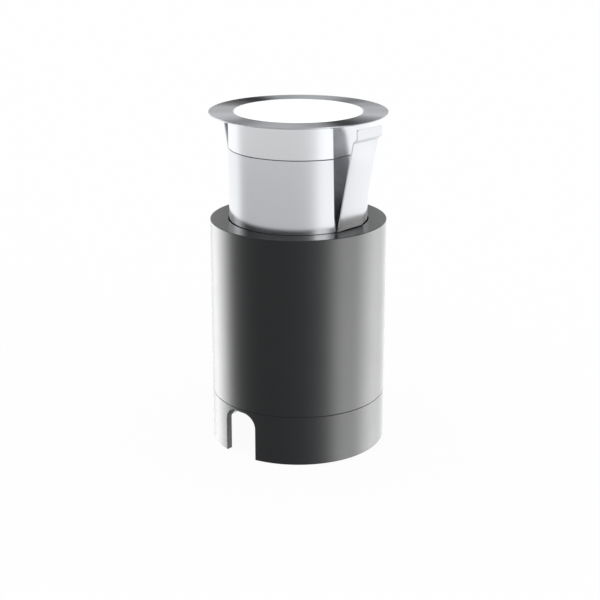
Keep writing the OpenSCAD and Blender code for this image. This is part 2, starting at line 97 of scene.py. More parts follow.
# The room's brightness goes by bearing, in degrees round from the camera, positive to the right, and by
# height, the upward part of a direction: 0 is the horizon and 1 is straight up
room = bpy.data.worlds.new("white_room")
room.use_nodes = True
bpy.context.scene.world = room
sky = room.node_tree
sky.nodes.clear()
direction = add(sky, "ShaderNodeTexCoord").outputs["Generated"]
height = add(sky, "ShaderNodeSeparateXYZ", {0: direction}).outputs["Z"]
side_part = add(sky, "ShaderNodeVectorMath", {0: direction, 1: to_the_right}, operation="DOT_PRODUCT")
front_part = add(sky, "ShaderNodeVectorMath", {0: direction, 1: toward_camera}, operation="DOT_PRODUCT")
bearing = add(sky, "ShaderNodeMath", {0: side_part.outputs["Value"], 1: front_part.outputs["Value"]},
              operation="ARCTAN2")
turn = add(sky, "ShaderNodeMapRange", {
    "Value": bearing.outputs[0], "From Min": -math.pi, "From Max": math.pi})


def by_bearing(table, brightest=1.2):
    """Brightness from a table of bearings and brightnesses, with smooth steps between them."""
    curve = add(sky, "ShaderNodeFloatCurve", {"Value": turn.outputs[0]})
    points = curve.mapping.curves[0].points
    while len(points) < len(table):
        points.new(0.5, 0.5)
    for point, (degrees, brightness) in zip(points, table):
        point.location = (degrees / 360 + 0.5, brightness / brightest)
        point.handle_type = "AUTO_CLAMPED"
    curve.mapping.update()
    return add(sky, "ShaderNodeMath", {0: curve.outputs[0], 1: brightest}, operation="MULTIPLY").outputs[0]


# The walls stand below the horizon. Close under it no side is darker than its glow, and the floor is dimmer
walls = by_bearing([
    (-180, 1.05), (-155, 1.1), (-130, 1.12), (-116, 0.97), (-106, 0.68), (-96, 0.54), (-84, 0.52),
    (-60, 0.52), (0, 0.53), (12, 0.57), (22, 0.7), (31, 0.9), (41, 1.08), (52, 1.13), (64, 1.12), (71, 0.9),
    (78, 0.72), (84, 0.88), (91, 1.06), (130, 1.08), (180, 1.05)])
horizon_glow = add(sky, "ShaderNodeMapRange", {
    "Value": height, "From Min": -0.228, "From Max": -0.203, "To Min": 0.0, "To Max": 0.82},
    interpolation_type="SMOOTHSTEP")
wall_foot = add(sky, "ShaderNodeMapRange", {
    "Value": height, "From Min": -0.23, "From Max": -0.275, "To Min": 1.0, "To Max": 1.09})
lit_walls = add(sky, "ShaderNodeMath", {0: walls, 1: wall_foot.outputs[0]}, operation="MULTIPLY")
low_walls = add(sky, "ShaderNodeMath", {0: lit_walls.outputs[0], 1: horizon_glow.outputs[0]},
                operation="MAXIMUM")
floor = add(sky, "ShaderNodeMapRange", {
    "Value": height, "From Min": -0.32, "From Max": -0.8, "To Min": 1.0, "To Max": 0.62})
below = add(sky, "ShaderNodeMath", {0: low_walls.outputs[0], 1: floor.outputs[0]}, operation="MULTIPLY")

# Above the horizon the eaves are unlit, but for the back and for two bright places, one behind on the left
# and one in front on the right
eaves = by_bearing([
    (-180, 0.1), (-178, 0.1), (-173, 0.94), (-145, 0.94), (-130, 1.6), (-118, 2.0), (-108, 0.9), (-100, 0.4),
    (-90, 0.06), (-10, 0.06), (14, 0.3), (25, 1.0), (33, 3.2), (46, 3.0), (55, 0.9), (64, 0.4), (74, 0.1),
    (80, 0.01), (122, 0.01), (132, 0.4), (145, 0.94), (173, 0.94), (178, 0.1), (180, 0.1)], brightest=3.6)

# The ceiling is even, but for two dark slots, each of a bearing and a darkness, which the flange's turned
# face spreads to fans. Both pass through the place that a level mirror shows the camera
slots = ((119, 1.0), (42, 0.55))
mirrored_level_part = 0.983
ceiling = 0.84
for degrees, darkness in slots:
    slot_bearing = math.radians(degrees)
    across_slot = to_the_right * math.sin(slot_bearing) + toward_camera * math.cos(slot_bearing)
    part = add(sky, "ShaderNodeVectorMath", {0: direction, 1: across_slot}, operation="DOT_PRODUCT")
    offset = add(sky, "ShaderNodeMath", {
        0: part.outputs["Value"], 1: mirrored_level_part * math.cos(slot_bearing)}, operation="ADD")
    away_from_slot = add(sky, "ShaderNodeMath", {0: offset.outputs[0]}, operation="ABSOLUTE")
    left_lit = add(sky, "ShaderNodeMapRange", {
        "Value": away_from_slot.outputs[0], "From Min": 0.13, "From Max": 0.42, "To Min": 1 - darkness},
        interpolation_type="SMOOTHSTEP")
    dimmed = add(sky, "ShaderNodeMath", {0: ceiling, 1: left_lit.outputs[0]}, operation="MULTIPLY")
    ceiling = dimmed.outputs[0]

# A dark cloth hangs from the ceiling's edge on the right
cloth = by_bearing([(-180, 1), (74, 1), (84, 0.03), (116, 0.03), (126, 1), (180, 1)])
over_cloth = add(sky, "ShaderNodeMapRange", {"Value": height, "From Min": 0.5, "From Max": 0.62},
                 interpolation_type="SMOOTHSTEP")
hung = add(sky, "ShaderNodeMix", {"Factor": over_cloth.outputs[0], "A": cloth, "B": 1.0}, data_type="FLOAT")
ceiling = add(sky, "ShaderNodeMath", {0: ceiling, 1: hung.outputs[0]}, operation="MULTIPLY").outputs[0]

over_eaves = add(sky, "ShaderNodeMapRange", {"Value": height, "From Min": 0.33, "From Max": 0.42},
                 interpolation_type="SMOOTHSTEP")
above = add(sky, "ShaderNodeMix", {"Factor": over_eaves.outputs[0], "A": eaves, "B": ceiling},
            data_type="FLOAT")
over_horizon = add(sky, "ShaderNodeMapRange", {"Value": height, "From Min": 0.0, "From Max": 0.045},
                   interpolation_type="SMOOTHSTEP")
level = add(sky, "ShaderNodeMix", {
    "Factor": over_horizon.outputs[0], "A": below.outputs[0], "B": above.outputs[0]}, data_type="FLOAT")

# Only mirrors show these bands. The room lights dull faces evenly, and the camera sees plain white
rays = add(sky, "ShaderNodeLightPath")
even = add(sky, "ShaderNodeMix", {
    "Factor": rays.outputs["Is Diffuse Ray"], "A": level.outputs[0], "B": 0.95}, data_type="FLOAT")
lit_room = add(sky, "ShaderNodeBackground", {"Color": linear("#fbfdff"), "Strength": even.outputs[0]})
plain_white = add(sky, "ShaderNodeBackground", {"Color": linear("#ffffff"), "Strength": 1.0})
seen = add(sky, "ShaderNodeMixShader", {
    0: rays.outputs["Is Camera Ray"], 1: lit_room.outputs[0], 2: plain_white.outputs[0]})
add(sky, "ShaderNodeOutputWorld", {"Surface": seen.outputs[0]})

# The table is painted white and glows to the camera, as a cut-out picture's ground does. Mirrors and views
# from below don't show it
painted_table = bpy.data.materials.new("white_painted_table")
painted_table.use_nodes = True
board = painted_table.node_tree
board.nodes.clear()
rays = add(board, "ShaderNodeLightPath")
paint = add(board, "ShaderNodeBsdfDiffuse", {"Color": linear("#f8f8f8")})
glow = add(board, "ShaderNodeEmission", {"Color": linear("#ffffff"), "Strength": 1.0})
pale = add(board, "ShaderNodeMixShader", {0: 0.95, 1: paint.outputs[0], 2: glow.outputs[0]})
shown = add(board, "ShaderNodeMixShader", {
    0: rays.outputs["Is Camera Ray"], 1: paint.outputs[0], 2: pale.outputs[0]})
clear = add(board, "ShaderNodeBsdfTransparent", {"Color": linear("#ffffff")})
under = add(board, "ShaderNodeNewGeometry").outputs["Backfacing"]
hidden = add(board, "ShaderNodeMath", {0: rays.outputs["Is Glossy Ray"], 1: under}, operation="MAXIMUM")
either = add(board, "ShaderNodeMixShader", {0: hidden.outputs[0], 1: shown.outputs[0], 2: clear.outputs[0]})
add(board, "ShaderNodeOutputMaterial", {"Surface": either.outputs[0]})
table_reach = 3.0
table_corners = [(x * table_reach, y * table_reach, 0) for x, y in ((-1, -1), (1, -1), (1, 1), (-1, 1))]
sheet = bpy.data.meshes.new("table_top")
sheet.from_pydata(table_corners, [], [(0, 1, 2, 3)])
sheet.materials.append(painted_table)
table_top = in_scene("table_top", sheet)
table_top.visible_shadow = False

# Tall soft lamps stand round the light. Only the casing takes light from them: its black satin skin
# reflects a twentieth of what falls on it, and would show no bands of the white room.
lamp_distance, lamp_foot, lamp_top = 1.2, -1.05, 0.05
lit_by_lamps = bpy.data.collections.new("lit_by_tall_lamps")
for bearing_from, bearing_to, low_end, high_end, brightness in (
        (-170, -146, lamp_foot, lamp_top, 0.9), (-146, -104, lamp_foot, lamp_top, 5.2),
        (46, 76, lamp_foot, lamp_top, 5.0), (84, 124, lamp_foot, lamp_top, 5.6),
        (124, 165, lamp_foot, lamp_top, 2.0), (150, 210, 0.15, 0.75, 0.25), (80, 125, 0.35, 1.1, 1.5)):
    middle = math.radians((bearing_from + bearing_to) / 2)
    half = math.radians((bearing_to - bearing_from) / 2)
    lamp = bpy.data.lights.new("tall_lamp", "AREA")
    lamp.shape = "RECTANGLE"
    lamp.size = 2 * lamp_distance * math.tan(half)
    lamp.size_y = high_end - low_end
    lamp.energy = 4 * brightness * lamp.size * lamp.size_y
    away = toward_camera * math.cos(middle) + to_the_right * math.sin(middle)
    stand = in_scene("tall_lamp", lamp)
    stand.location = away * lamp_distance + Vector((0, 0, (low_end + high_end) / 2))
    stand.rotation_mode = "QUATERNION"
    stand.rotation_quaternion = away.to_track_quat("Z", "Y")
    stand.visible_camera = False
    stand.light_linking.receiver_collection = lit_by_lamps


# Base ring: a moulded ring of satin black plastic that the casing stands on. An arched slot lets the
# cable in, and a thin spigot with a snap bead plugs up into the tube.
mm = 0.001


def span_of(node, axis):
    """The lowest and highest place of a CAD node along an axis, in mm."""
    return [round(corner[axis] / mm, 3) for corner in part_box(node)]


casing_r = span_of("base_ring", 0)[1]
base_h, casing_h = span_of("casing_tube", 2)
wall_in_r, foot_edge, edge, lip_edge, inner_edge = 27.7, 0.25, 0.2, 0.3, 0.5
spigot_r, spigot_in_r, spigot_top, spigot_foot, taper_foot, lead_in = 27.65, 25.85, 23.2, 14.2, 12.4, 0.4
bead_z, bead_r = 20.2, 0.4
slot_w, slot_h, slot_corner_r, slot_from, slot_to = 13.4, 16.2, 4.9, -20, -32


def start(name, sockets):
    """A new material, with the constants on its one shader's own sockets. Also gives its tree, that shader
    and the place on the piece, in Object coordinates."""
    material = bpy.data.materials.new(name)
    material.use_nodes = True
    tree = material.node_tree
    tree.nodes.clear()
    shader = add(tree, "ShaderNodeBsdfPrincipled", sockets)
    add(tree, "ShaderNodeOutputMaterial", {"Surface": shader.outputs[0]})
    return material, tree, shader, add(tree, "ShaderNodeTexCoord").outputs["Object"]


def per_metre(size):
    """The scale of a pattern whose grains or lines have a size in mm."""
    return 1 / (size * mm)


def varied(tree, skin, pattern, tints=None, gloss=None, relief=None):
    """Lets a pattern from 0 to 1 vary a skin: between two colours, between two roughnesses, or by a relief
    of a strength and a depth in mm."""
    if tints:
        tint = add(tree, "ShaderNodeMix", {0: pattern, 6: linear(tints[0]), 7: linear(tints[1])},
                   data_type="RGBA")
        tree.links.new(tint.outputs[2], skin.inputs["Base Color"])
    if gloss:
        wear = add(tree, "ShaderNodeMapRange", {"Value": pattern, "To Min": gloss[0], "To Max": gloss[1]})
        tree.links.new(wear.outputs[0], skin.inputs["Roughness"])
    if relief:
        strength, depth = relief
        bumps = add(tree, "ShaderNodeBump", {
            "Height": pattern, "Strength": strength, "Distance": depth * mm})
        tree.links.new(bumps.outputs[0], skin.inputs["Normal"])


def rounded(corners, closed=True, steps=6):
    """A line from corners (x, z) or (x, z, radius), where each radius becomes an arc."""
    line = []
    for i, corner in enumerate(corners):
        here = Vector(corner[:2])
        if len(corner) < 3 or not (closed or 0 < i < len(corners) - 1):
            line.append(here)
            continue
        before = (Vector(corners[i - 1][:2]) - here).normalized()
        after = (Vector(corners[(i + 1) % len(corners)][:2]) - here).normalized()
        half = before.angle(after) / 2
        centre = here + (before + after).normalized() * corner[2] / math.sin(half)
        first = here + before * corner[2] / math.tan(half) - centre
        sweep = math.copysign(math.pi - 2 * half, before.x * after.y - before.y * after.x)
        for step in range(steps + 1):
            c, s = math.cos(-sweep * step / steps), math.sin(-sweep * step / steps)
            line.append(centre + Vector((first.x * c - first.y * s, first.x * s + first.y * c)))
    return line


def every(degrees):
    """The angles of a turned form that lie this many degrees apart, at any height."""
    angles = [math.radians(degrees * i) for i in range(round(360 / degrees))]
    return lambda z: angles


def turned(outline, angles=every(1.5), limit=None):
    """Points and faces of a closed outline (radius, z) turned round the axis. limit gives the greatest
    radius at an angle and a height, where the turned form is cut flat."""
    places, faces = [], []
    for r, z in outline:
        for a in angles(z):
            reach = min(r, limit(a, z)) if limit else r
            places.append((reach * math.cos(a), reach * math.sin(a), z))
    count = len(angles(0))
    for k in range(len(outline)):
        m = (k + 1) % len(outline)
        for i in range(count):
            j = (i + 1) % count
            faces.append((k * count + i, k * count + j, m * count + j, m * count + i))
    return places, faces


def prism(one_end, other_end):
    """Points and faces of a solid between two rings of as many points each."""
    count = len(one_end)
    sides = [(i, (i + 1) % count, count + (i + 1) % count, count + i) for i in range(count)]
    return one_end + other_end, sides + [tuple(range(count)), tuple(range(count, 2 * count))]


def shape(name, *forms):
    """A mesh in millimetres from closed forms of (points, faces), with its faces outward."""
    mesh = bpy.data.meshes.new(name)
    places, faces = [], []
    for more_places, more_faces in forms:
        faces += [tuple(i + len(places) for i in face) for face in more_faces]
        places += more_places
    mesh.from_pydata(places, [], faces)
    merged = bmesh.new()
    merged.from_mesh(mesh)
    bmesh.ops.remove_doubles(merged, verts=merged.verts, dist=0.0001)
    bmesh.ops.recalc_face_normals(merged, faces=merged.faces)
    merged.to_mesh(mesh)
    merged.free()
    return mesh


def settled(piece):
    """Puts the piece's modifiers into its mesh."""
    graph = bpy.context.evaluated_depsgraph_get()
    mesh = bpy.data.meshes.new_from_object(piece.evaluated_get(graph), depsgraph=graph)
    piece.modifiers.clear()
    piece.data = mesh


def cut(piece, cutter):
    """Takes a mesh's solid out of the piece."""
    tool = in_scene("cutter", cutter)
    taken = piece.modifiers.new("cut", "BOOLEAN")
    taken.operation = "DIFFERENCE"
    taken.solver = "EXACT"
    taken.object = tool
    settled(piece)
    bpy.data.objects.remove(tool)


def finished(name, mesh, material, body, slot, *replaced, sharp=20, cutter=None):
    """The finished piece of a mesh in millimetres: cut, shaded smooth up to sharp edges, and on its body."""
    piece = in_scene(name, mesh)
    if cutter:
        cut(piece, cutter)
    piece.data.transform(Matrix.Scale(mm, 4))
    piece.data.shade_smooth()
    piece.data.set_sharp_from_angle(angle=math.radians(sharp))
    even = piece.modifiers.new("even_shading", "WEIGHTED_NORMAL")
    even.keep_sharp = True
    settled(piece)
    piece.data.name = name
    piece.data.materials.clear()
    piece.data.materials.append(material)
    if body:
        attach(piece, body)
    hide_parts(*replaced)
    return piece


def resurfaced(piece, material, chosen):
    """Gives the faces of a finished piece for which chosen(face) is true another material."""
    piece.data.materials.append(material)
    for face in piece.data.polygons:
        if chosen(face):
            face.material_index = len(piece.data.materials) - 1


def slot_arch():
    """The solid that cuts the cable slot, from below the foot."""
    side, under_foot = slot_w / 2, -1
    arch = rounded([(-side, under_foot), (-side, slot_h, slot_corner_r), (side, slot_h, slot_corner_r),
                    (side, under_foot)], steps=16)
    return prism(*[[(x, y, z) for x, z in arch] for y in (slot_from, slot_to)])


# Black satin moulding: its spark-eroded grain spreads the reflections into soft bands. The real grain
# is about 0.1 mm, and is drawn at 0.5 mm, because finer would not show. The gloss drifts over 14 mm.
satin_black, tree, skin, place = start("satin_black_moulding", {"Roughness": 0.4, "IOR": 1.5})
mottle = add(tree, "ShaderNodeTexNoise", {"Vector": place, "Scale": per_metre(14.3), "Detail": 3.0})
varied(tree, skin, mottle.outputs[0], tints=("#08090a", "#0d0e10"), gloss=(0.37, 0.42))
grain = add(tree, "ShaderNodeTexNoise", {"Vector": place, "Scale": per_metre(0.5), "Detail": 1.0})
varied(tree, skin, grain.outputs[0], relief=(0.05, 0.05))

ring_outline = rounded([
    (wall_in_r, 0), (casing_r, 0, foot_edge), (casing_r, base_h, edge), (spigot_r, base_h),
    (spigot_r, bead_z - bead_r), (spigot_r + bead_r, bead_z, edge), (spigot_r, bead_z + bead_r),
    (spigot_r, spigot_top, lead_in), (spigot_in_r, spigot_top, lip_edge),
    (spigot_in_r, spigot_foot, inner_edge), (wall_in_r, taper_foot, inner_edge)])
base_ring = finished("base_ring", shape("base_ring", turned(ring_outline)), satin_black, "casing",
                     "casing_black", "base_ring", cutter=shape("slot", slot_arch()))

# The slot is punched after moulding, and its torn faces, with tears about 1 mm long, are left dull
cut_face, tree, skin, place = start("dull_cut_face", {"Roughness": 0.5, "IOR": 1.27})
torn = add(tree, "ShaderNodeTexNoise", {"Vector": place, "Scale": per_metre(1.11), "Detail": 3.0})
varied(tree, skin, torn.outputs[0], tints=("#08090a", "#111214"))


def in_slot(face):
    """Whether a face of the base ring lies in the cable slot."""
    x, y, z = face.center / mm
    beside_wall = abs(face.normal.dot(Vector((x, y, 0)).normalized())) < 0.6
    return beside_wall and abs(x) < slot_w / 2 + 0.1 and y < 0 and 0.5 < z < slot_h + 0.3


resurfaced(base_ring, cut_face, in_slot)


# Casing tube: one moulding in the same black plastic, open above and below. A sleeve inside its flat
# rim guides the light, and eight ribs tie the sleeve to the wall.
bore_r, sleeve_out_r, rim_edge, bead_groove_r = 23.85, 25.65, 0.15, 0.45
sleeve_foot, rim_under = casing_h - 40, casing_h - 2.4
rib_count, rib_w, rib_overlap = 8, 1.6, 0.4


def tree_of(name, sizes):
    """A Geometry Nodes tree with a named input for each size, and those inputs."""
    rule = bpy.data.node_groups.new(name, "GeometryNodeTree")
    rule.interface.new_socket("Geometry", in_out="OUTPUT", socket_type="NodeSocketGeometry")
    for label, kind in sizes.items():
        rule.interface.new_socket(label, in_out="INPUT", socket_type="NodeSocket" + kind)
    return rule, add(rule, "NodeGroupInput").outputs


def ends_with(rule, geometry, material):
    """Ends a tree with its geometry, made real, in a material."""
    real = add(rule, "GeometryNodeRealizeInstances", {"Geometry": geometry})
    dressed = add(rule, "GeometryNodeSetMaterial", {"Geometry": real.outputs[0], "Material": material})
    add(rule, "NodeGroupOutput", {"Geometry": dressed.outputs[0]})


def grown(rule, values):
    """The mesh that a tree makes from its inputs' values."""
    holder = in_scene("holder", bpy.data.meshes.new("holder"))
    growth = holder.modifiers.new("growth", "NODES")
    growth.node_group = rule
    for socket in rule.interface.items_tree:
        if socket.in_out == "INPUT":
            growth[socket.identifier] = values[socket.name]
    settled(holder)
    mesh = holder.data
    bpy.data.objects.remove(holder)
    return mesh


repeated, given = tree_of("repeated_round_the_axis", {
    "Item": "Object", "Count": "Int", "Radius": "Float", "Turn": "Float", "Material": "Material"})
share = add(repeated, "ShaderNodeMath", {0: math.tau, 1: given["Count"]}, operation="DIVIDE")
number = add(repeated, "GeometryNodeInputIndex")
angle = add(repeated, "ShaderNodeMath", {0: number.outputs[0], 1: share.outputs[0], 2: given["Turn"]},
            operation="MULTIPLY_ADD")
across = add(repeated, "ShaderNodeMath", {0: angle.outputs[0]}, operation="COSINE")
along = add(repeated, "ShaderNodeMath", {0: angle.outputs[0]}, operation="SINE")
outward = add(repeated, "ShaderNodeCombineXYZ", {"X": across.outputs[0], "Y": along.outputs[0]})
spot = add(repeated, "ShaderNodeVectorMath", {0: outward.outputs[0], "Scale": given["Radius"]},
           operation="SCALE")
spots = add(repeated, "GeometryNodePoints", {"Count": given["Count"], "Position": spot.outputs[0]})
facing = add(repeated, "ShaderNodeCombineXYZ", {"Z": angle.outputs[0]})
form = add(repeated, "GeometryNodeObjectInfo", {"Object": given["Item"]})
copies = add(repeated, "GeometryNodeInstanceOnPoints", {
    "Points": spots.outputs[0], "Instance": form.outputs["Geometry"], "Rotation": facing.outputs[0]})
ends_with(repeated, copies.outputs[0], given["Material"])


def ring_of(item, count, radius, turn, material):
    """A mesh of the item repeated round the axis. The item stands at the origin."""
    single = in_scene("single", item)
    mesh = grown(repeated, {
        "Item": single, "Count": count, "Radius": radius, "Turn": math.radians(turn), "Material": material})
    bpy.data.objects.remove(single)
    return mesh


def joined(name, *meshes):
    """One mesh of several."""
    whole = bmesh.new()
    for mesh in meshes:
        whole.from_mesh(mesh)
    result = bpy.data.meshes.new(name)
    whole.to_mesh(result)
    whole.free()
    return result


def block(x, y, z, soft=0.0):
    """A box between pairs of x, y and z, with its upright edges cut back by soft."""
    loop = [(x[0], y[0]), (x[1], y[0]), (x[1], y[1]), (x[0], y[1])]
    if soft:
        loop = [tuple(p) for p in rounded([(a, b, soft) for a, b in loop], steps=3)]
    return prism(*[[(a, b, c) for a, b in loop] for c in z])


def centred(size):
    """The two ends of a size that lies about the middle."""
    return -size / 2, size / 2


tube_outline = rounded([
    (bore_r, casing_h, rim_edge), (bore_r, sleeve_foot, lip_edge), (sleeve_out_r, sleeve_foot, lip_edge),
    (sleeve_out_r, rim_under, inner_edge), (wall_in_r, rim_under, inner_edge),
    (wall_in_r, bead_z + bead_groove_r), (wall_in_r + bead_groove_r, bead_z),
    (wall_in_r, bead_z - bead_groove_r), (wall_in_r, base_h), (casing_r, base_h, edge),
    (casing_r, casing_h, edge)])
rib = shape("rib", block((-rib_overlap, wall_in_r - sleeve_out_r + rib_overlap), centred(rib_w),
                         (sleeve_foot, rim_under), edge))
casing_tube = finished(
    "casing_tube", joined("casing_tube", shape("casing_tube", turned(tube_outline)),
                          ring_of(rib, rib_count, sleeve_out_r, 0, satin_black)),
    satin_black, "casing", "casing_black", "casing_tube")

# The rim is faced on a lathe and lacquered, so it mirrors the body more clearly than the moulded wall does.
# Its shine drifts over about 3 mm
faced_black, tree, skin, place = start("lathe_faced_black", {
    "Base Color": linear("#0b0c0d"), "Roughness": 0.22, "IOR": 1.9})
speckle = add(tree, "ShaderNodeTexNoise", {"Vector": place, "Scale": per_metre(3.33), "Detail": 3.0})
varied(tree, skin, speckle.outputs[0], gloss=(0.19, 0.26))
resurfaced(casing_tube, faced_black, lambda face: face.center.z > (casing_h - 0.05) * mm)
for piece in (base_ring, casing_tube):
    lit_by_lamps.objects.link(piece)


# Housing: turned from aluminium bar and finely polished. It carries the board on its web, holds the driver
# below it, and has a flat milled down each side, to which a leaf spring is screwed.
flange_z = span_of("trim_head", 2)[1]


def drops_of(node):
    """How far the top and the bottom of a CAD node lie below the top of the flange, in mm."""
    return [round(flange_z - z, 3) for z in reversed(span_of(node, 2))]


body_r = span_of("housing", 1)[1]
neck_drop, cap_drop = drops_of("housing")
seam_drop = drops_of("trim_head")[1]
web_drop = drops_of("thermal_pad")[1]
cap_plug_drop, cap_end_drop = drops_of("bottom_cap")
thread_r, chamber_r, neck_r, lead_hole_r, play = 21.0, 20.8, 18.4, 2.6, 0.05
web_end_drop, chamber_corner, body_edge = 19.0, 0.6, 0.12
seam_groove_h, seam_groove_depth, flange_t, hair = 0.26, 0.4, 0.78, 0.001
head_groove_drop, head_groove_end, head_groove_r = 6.65, 8.15, 19.9
hinge_drop, flat_r, flat_lean = 37.3, 22.35, math.radians(0.4)
boss_r, boss_hole_r, boss_drop, boss_roof = 2.6, 1.3, 39, 0.3
cap_screw_count, cap_screw_ring_r, first_cap_screw = 3, 16.8, 90
lug_w, lug_from, lug_to, lug_edge = 8.6, -3.4, -1.2, 0.6
uncut = 99


def flat_x(z):
    """Distance of the milled flats from the axis at a height."""
    return flat_r + (flange_z - z - hinge_drop) * math.tan(flat_lean)


def beside_flats(z):
    """Angles of a turned ring whose points fall on the edges of the two flats."""
    half = math.acos(flat_x(z) / body_r)
    across = [half * (i / 8 - 1) for i in range(16)]
    along = [half + (math.pi - 2 * half) * i / 100 for i in range(100)]
    return [side + a for side in (0, math.pi) for a in across + along]


def milled(a, z):
    """The greatest radius at an angle below the flange, where the flats are milled, also in the seam."""
    if z > flange_z - flange_t - hair:
        return uncut
    in_groove = seam_drop - seam_groove_h < flange_z - z - hair / 2 < seam_drop - hair
    return (flat_x(z) - seam_groove_depth * in_groove) / max(abs(math.cos(a)), 0.01)


def dropped(corners):
    """Corners whose height is a drop below the top of the flange, as corners in x and z."""
    return [(corner[0], flange_z - corner[1], *corner[2:]) for corner in corners]


def tool_lines(tree, place, *sizes):
    """A pattern of fine lines as a tool leaves them, from their sizes in mm along x, y and z."""
    stretch = add(tree, "ShaderNodeMapping", {"Vector": place, "Scale": [per_metre(size) for size in sizes]})
    lines = add(tree, "ShaderNodeTexNoise", {"Vector": stretch.outputs[0], "Scale": 1.0, "Detail": 2.0})
    return lines.outputs[0]


# Polished aluminium: a cold, near-white mirror, softened by fine turning lines that run round it. They
# are 0.05 mm apart in truth, and drawn 0.4 mm apart.
polished, tree, skin, place = start("polished_aluminium", {
    "Base Color": linear("#e5e5e7"), "Metallic": 1.0, "Roughness": 0.2})
varied(tree, skin, tool_lines(tree, place, 16.7, 16.7, 0.4), gloss=(0.16, 0.24), relief=(0.02, 0.05))

housing_outline = rounded(dropped([
    (lead_hole_r, web_drop, 0.2), (neck_r, web_drop), (neck_r, neck_drop), (thread_r - play, neck_drop),
    (thread_r - play, head_groove_drop), (head_groove_r, head_groove_drop), (head_groove_r, head_groove_end),
    (thread_r - play, head_groove_end), (thread_r - play, seam_drop), (body_r, seam_drop, body_edge),
    (body_r, cap_drop, body_edge), (chamber_r, cap_drop), (chamber_r, web_end_drop, chamber_corner),
    (lead_hole_r, web_end_drop, 0.2)]))
boss = turned(dropped([
    (boss_hole_r, cap_plug_drop), (boss_hole_r, boss_drop + boss_roof), (0, boss_drop + boss_roof),
    (0, boss_drop), (boss_r, boss_drop), (boss_r, cap_plug_drop)]), every(15))
lug = block((lug_from, lug_to), centred(lug_w), (flange_z - cap_plug_drop, flange_z - hinge_drop), lug_edge)
bosses = ring_of(shape("boss", boss), cap_screw_count, cap_screw_ring_r, first_cap_screw, polished)
lugs = ring_of(shape("lug", lug), 2, flat_r, 0, polished)
bar = shape("housing", turned(housing_outline, beside_flats, milled))
finished("housing", joined("housing", bar, bosses, lugs), polished, "luminaire", "housing_aluminium",
         "housing", sharp=12)


# Trim head: the flange and the upper body, turned in one piece of stainless steel and screwed to the
# housing at the seam. The tool's rings on the flange throw a dark fan across it on two sides.
seat_r, ledge_r, ledge_drop, ledge_end = 21.4, 19.6, 4, 5.4
flange_edge_h, flange_back_r, seat_edge, flange_top_edge = 0.4, 29.2, 0.1, 0.15


def from_axis(tree, place):
    """The distance from the axis."""
    level = add(tree, "ShaderNodeVectorMath", {0: place, 1: (1, 1, 0)}, operation="MULTIPLY")
    return add(tree, "ShaderNodeVectorMath", {0: level.outputs[0]}, operation="LENGTH").outputs["Value"]


# Turned stainless steel: the tool's rings spread its mirror round the axis. They are finer than 0.1 mm in
# truth, and drawn 0.45 mm apart.
turned_steel, tree, skin, place = start("turned_stainless_steel", {
    "Base Color": linear("#e9e9eb"), "Metallic": 1.0, "Roughness": 0.42, "Anisotropic": 1.0,
    "Anisotropic Rotation": 0.25})
round_axis = add(tree, "ShaderNodeTangent", direction_type="RADIAL", axis="Z")
tree.links.new(round_axis.outputs[0], skin.inputs["Tangent"])
rings = add(tree, "ShaderNodeTexNoise", {
    "W": from_axis(tree, place), "Scale": per_metre(0.4545), "Detail": 2.0}, noise_dimensions="1D")
varied(tree, skin, rings.outputs[0], relief=(0.05, 0.05))

# The body below the flange is polished afterwards, which leaves turning lines drawn like the housing's
polished_steel, tree, skin, place = start("polished_stainless_steel", {
    "Base Color": linear("#f2f2f3"), "Metallic": 1.0, "Roughness": 0.2})
varied(tree, skin, tool_lines(tree, place, 16.7, 16.7, 0.4), gloss=(0.17, 0.25))

# The seam's groove is coloured grey, partly as sealant and partly as painted shade, which shows as a fine
# dark line round the body, in grains of 0.5 mm
sealant_and_painted_shade, tree, skin, place = start("grey_sealant_and_painted_shade", {"Roughness": 0.6, "IOR": 1.45})
bits = add(tree, "ShaderNodeTexNoise", {"Vector": place, "Scale": per_metre(0.5)})
varied(tree, skin, bits.outputs[0], tints=("#606062", "#767678"))

flange_outline = rounded(dropped([
    (seat_r, 0, seat_edge), (casing_r, 0, flange_top_edge), (casing_r, flange_edge_h, seat_edge),
    (flange_back_r, flange_t), (body_r, flange_t)]))
groove_roof, groove_floor = seam_drop - seam_groove_h, seam_drop - hair
groove_r = body_r - seam_groove_depth
body_outline = rounded(dropped([
    (body_r, flange_t + 2 * hair), (body_r, groove_roof, 0.05), (groove_r, groove_roof + hair),
    (groove_r, groove_floor), (thread_r, groove_floor), (thread_r, ledge_end), (ledge_r, ledge_end, 0.15),
    (ledge_r, ledge_drop), (seat_r, ledge_drop)]))
head = shape("trim_head", turned(flange_outline + body_outline, beside_flats, milled))
trim_head = finished("trim_head", head, turned_steel, "luminaire", "trim_steel", "trim_head", sharp=12)


def drop_of(face):
    """How far a finished face lies below the top of the flange, in mm."""
    return flange_z - face.center.z / mm


resurfaced(trim_head, polished_steel, lambda face: drop_of(face) > 0.3)
# The groove's faces take the sealant grey that also paints the shade in the seam
resurfaced(trim_head, sealant_and_painted_shade, lambda face: groove_roof < drop_of(face) < seam_drop)


# Diffuser: a disc of opal acrylic, pressed flush into the head against its seal. It scatters all light,
# and a faint painted glow keeps it an even white, with a soft satin shine.
diffuser_r, diffuser_end = span_of("diffuser", 0)[1], drops_of("diffuser")[1]
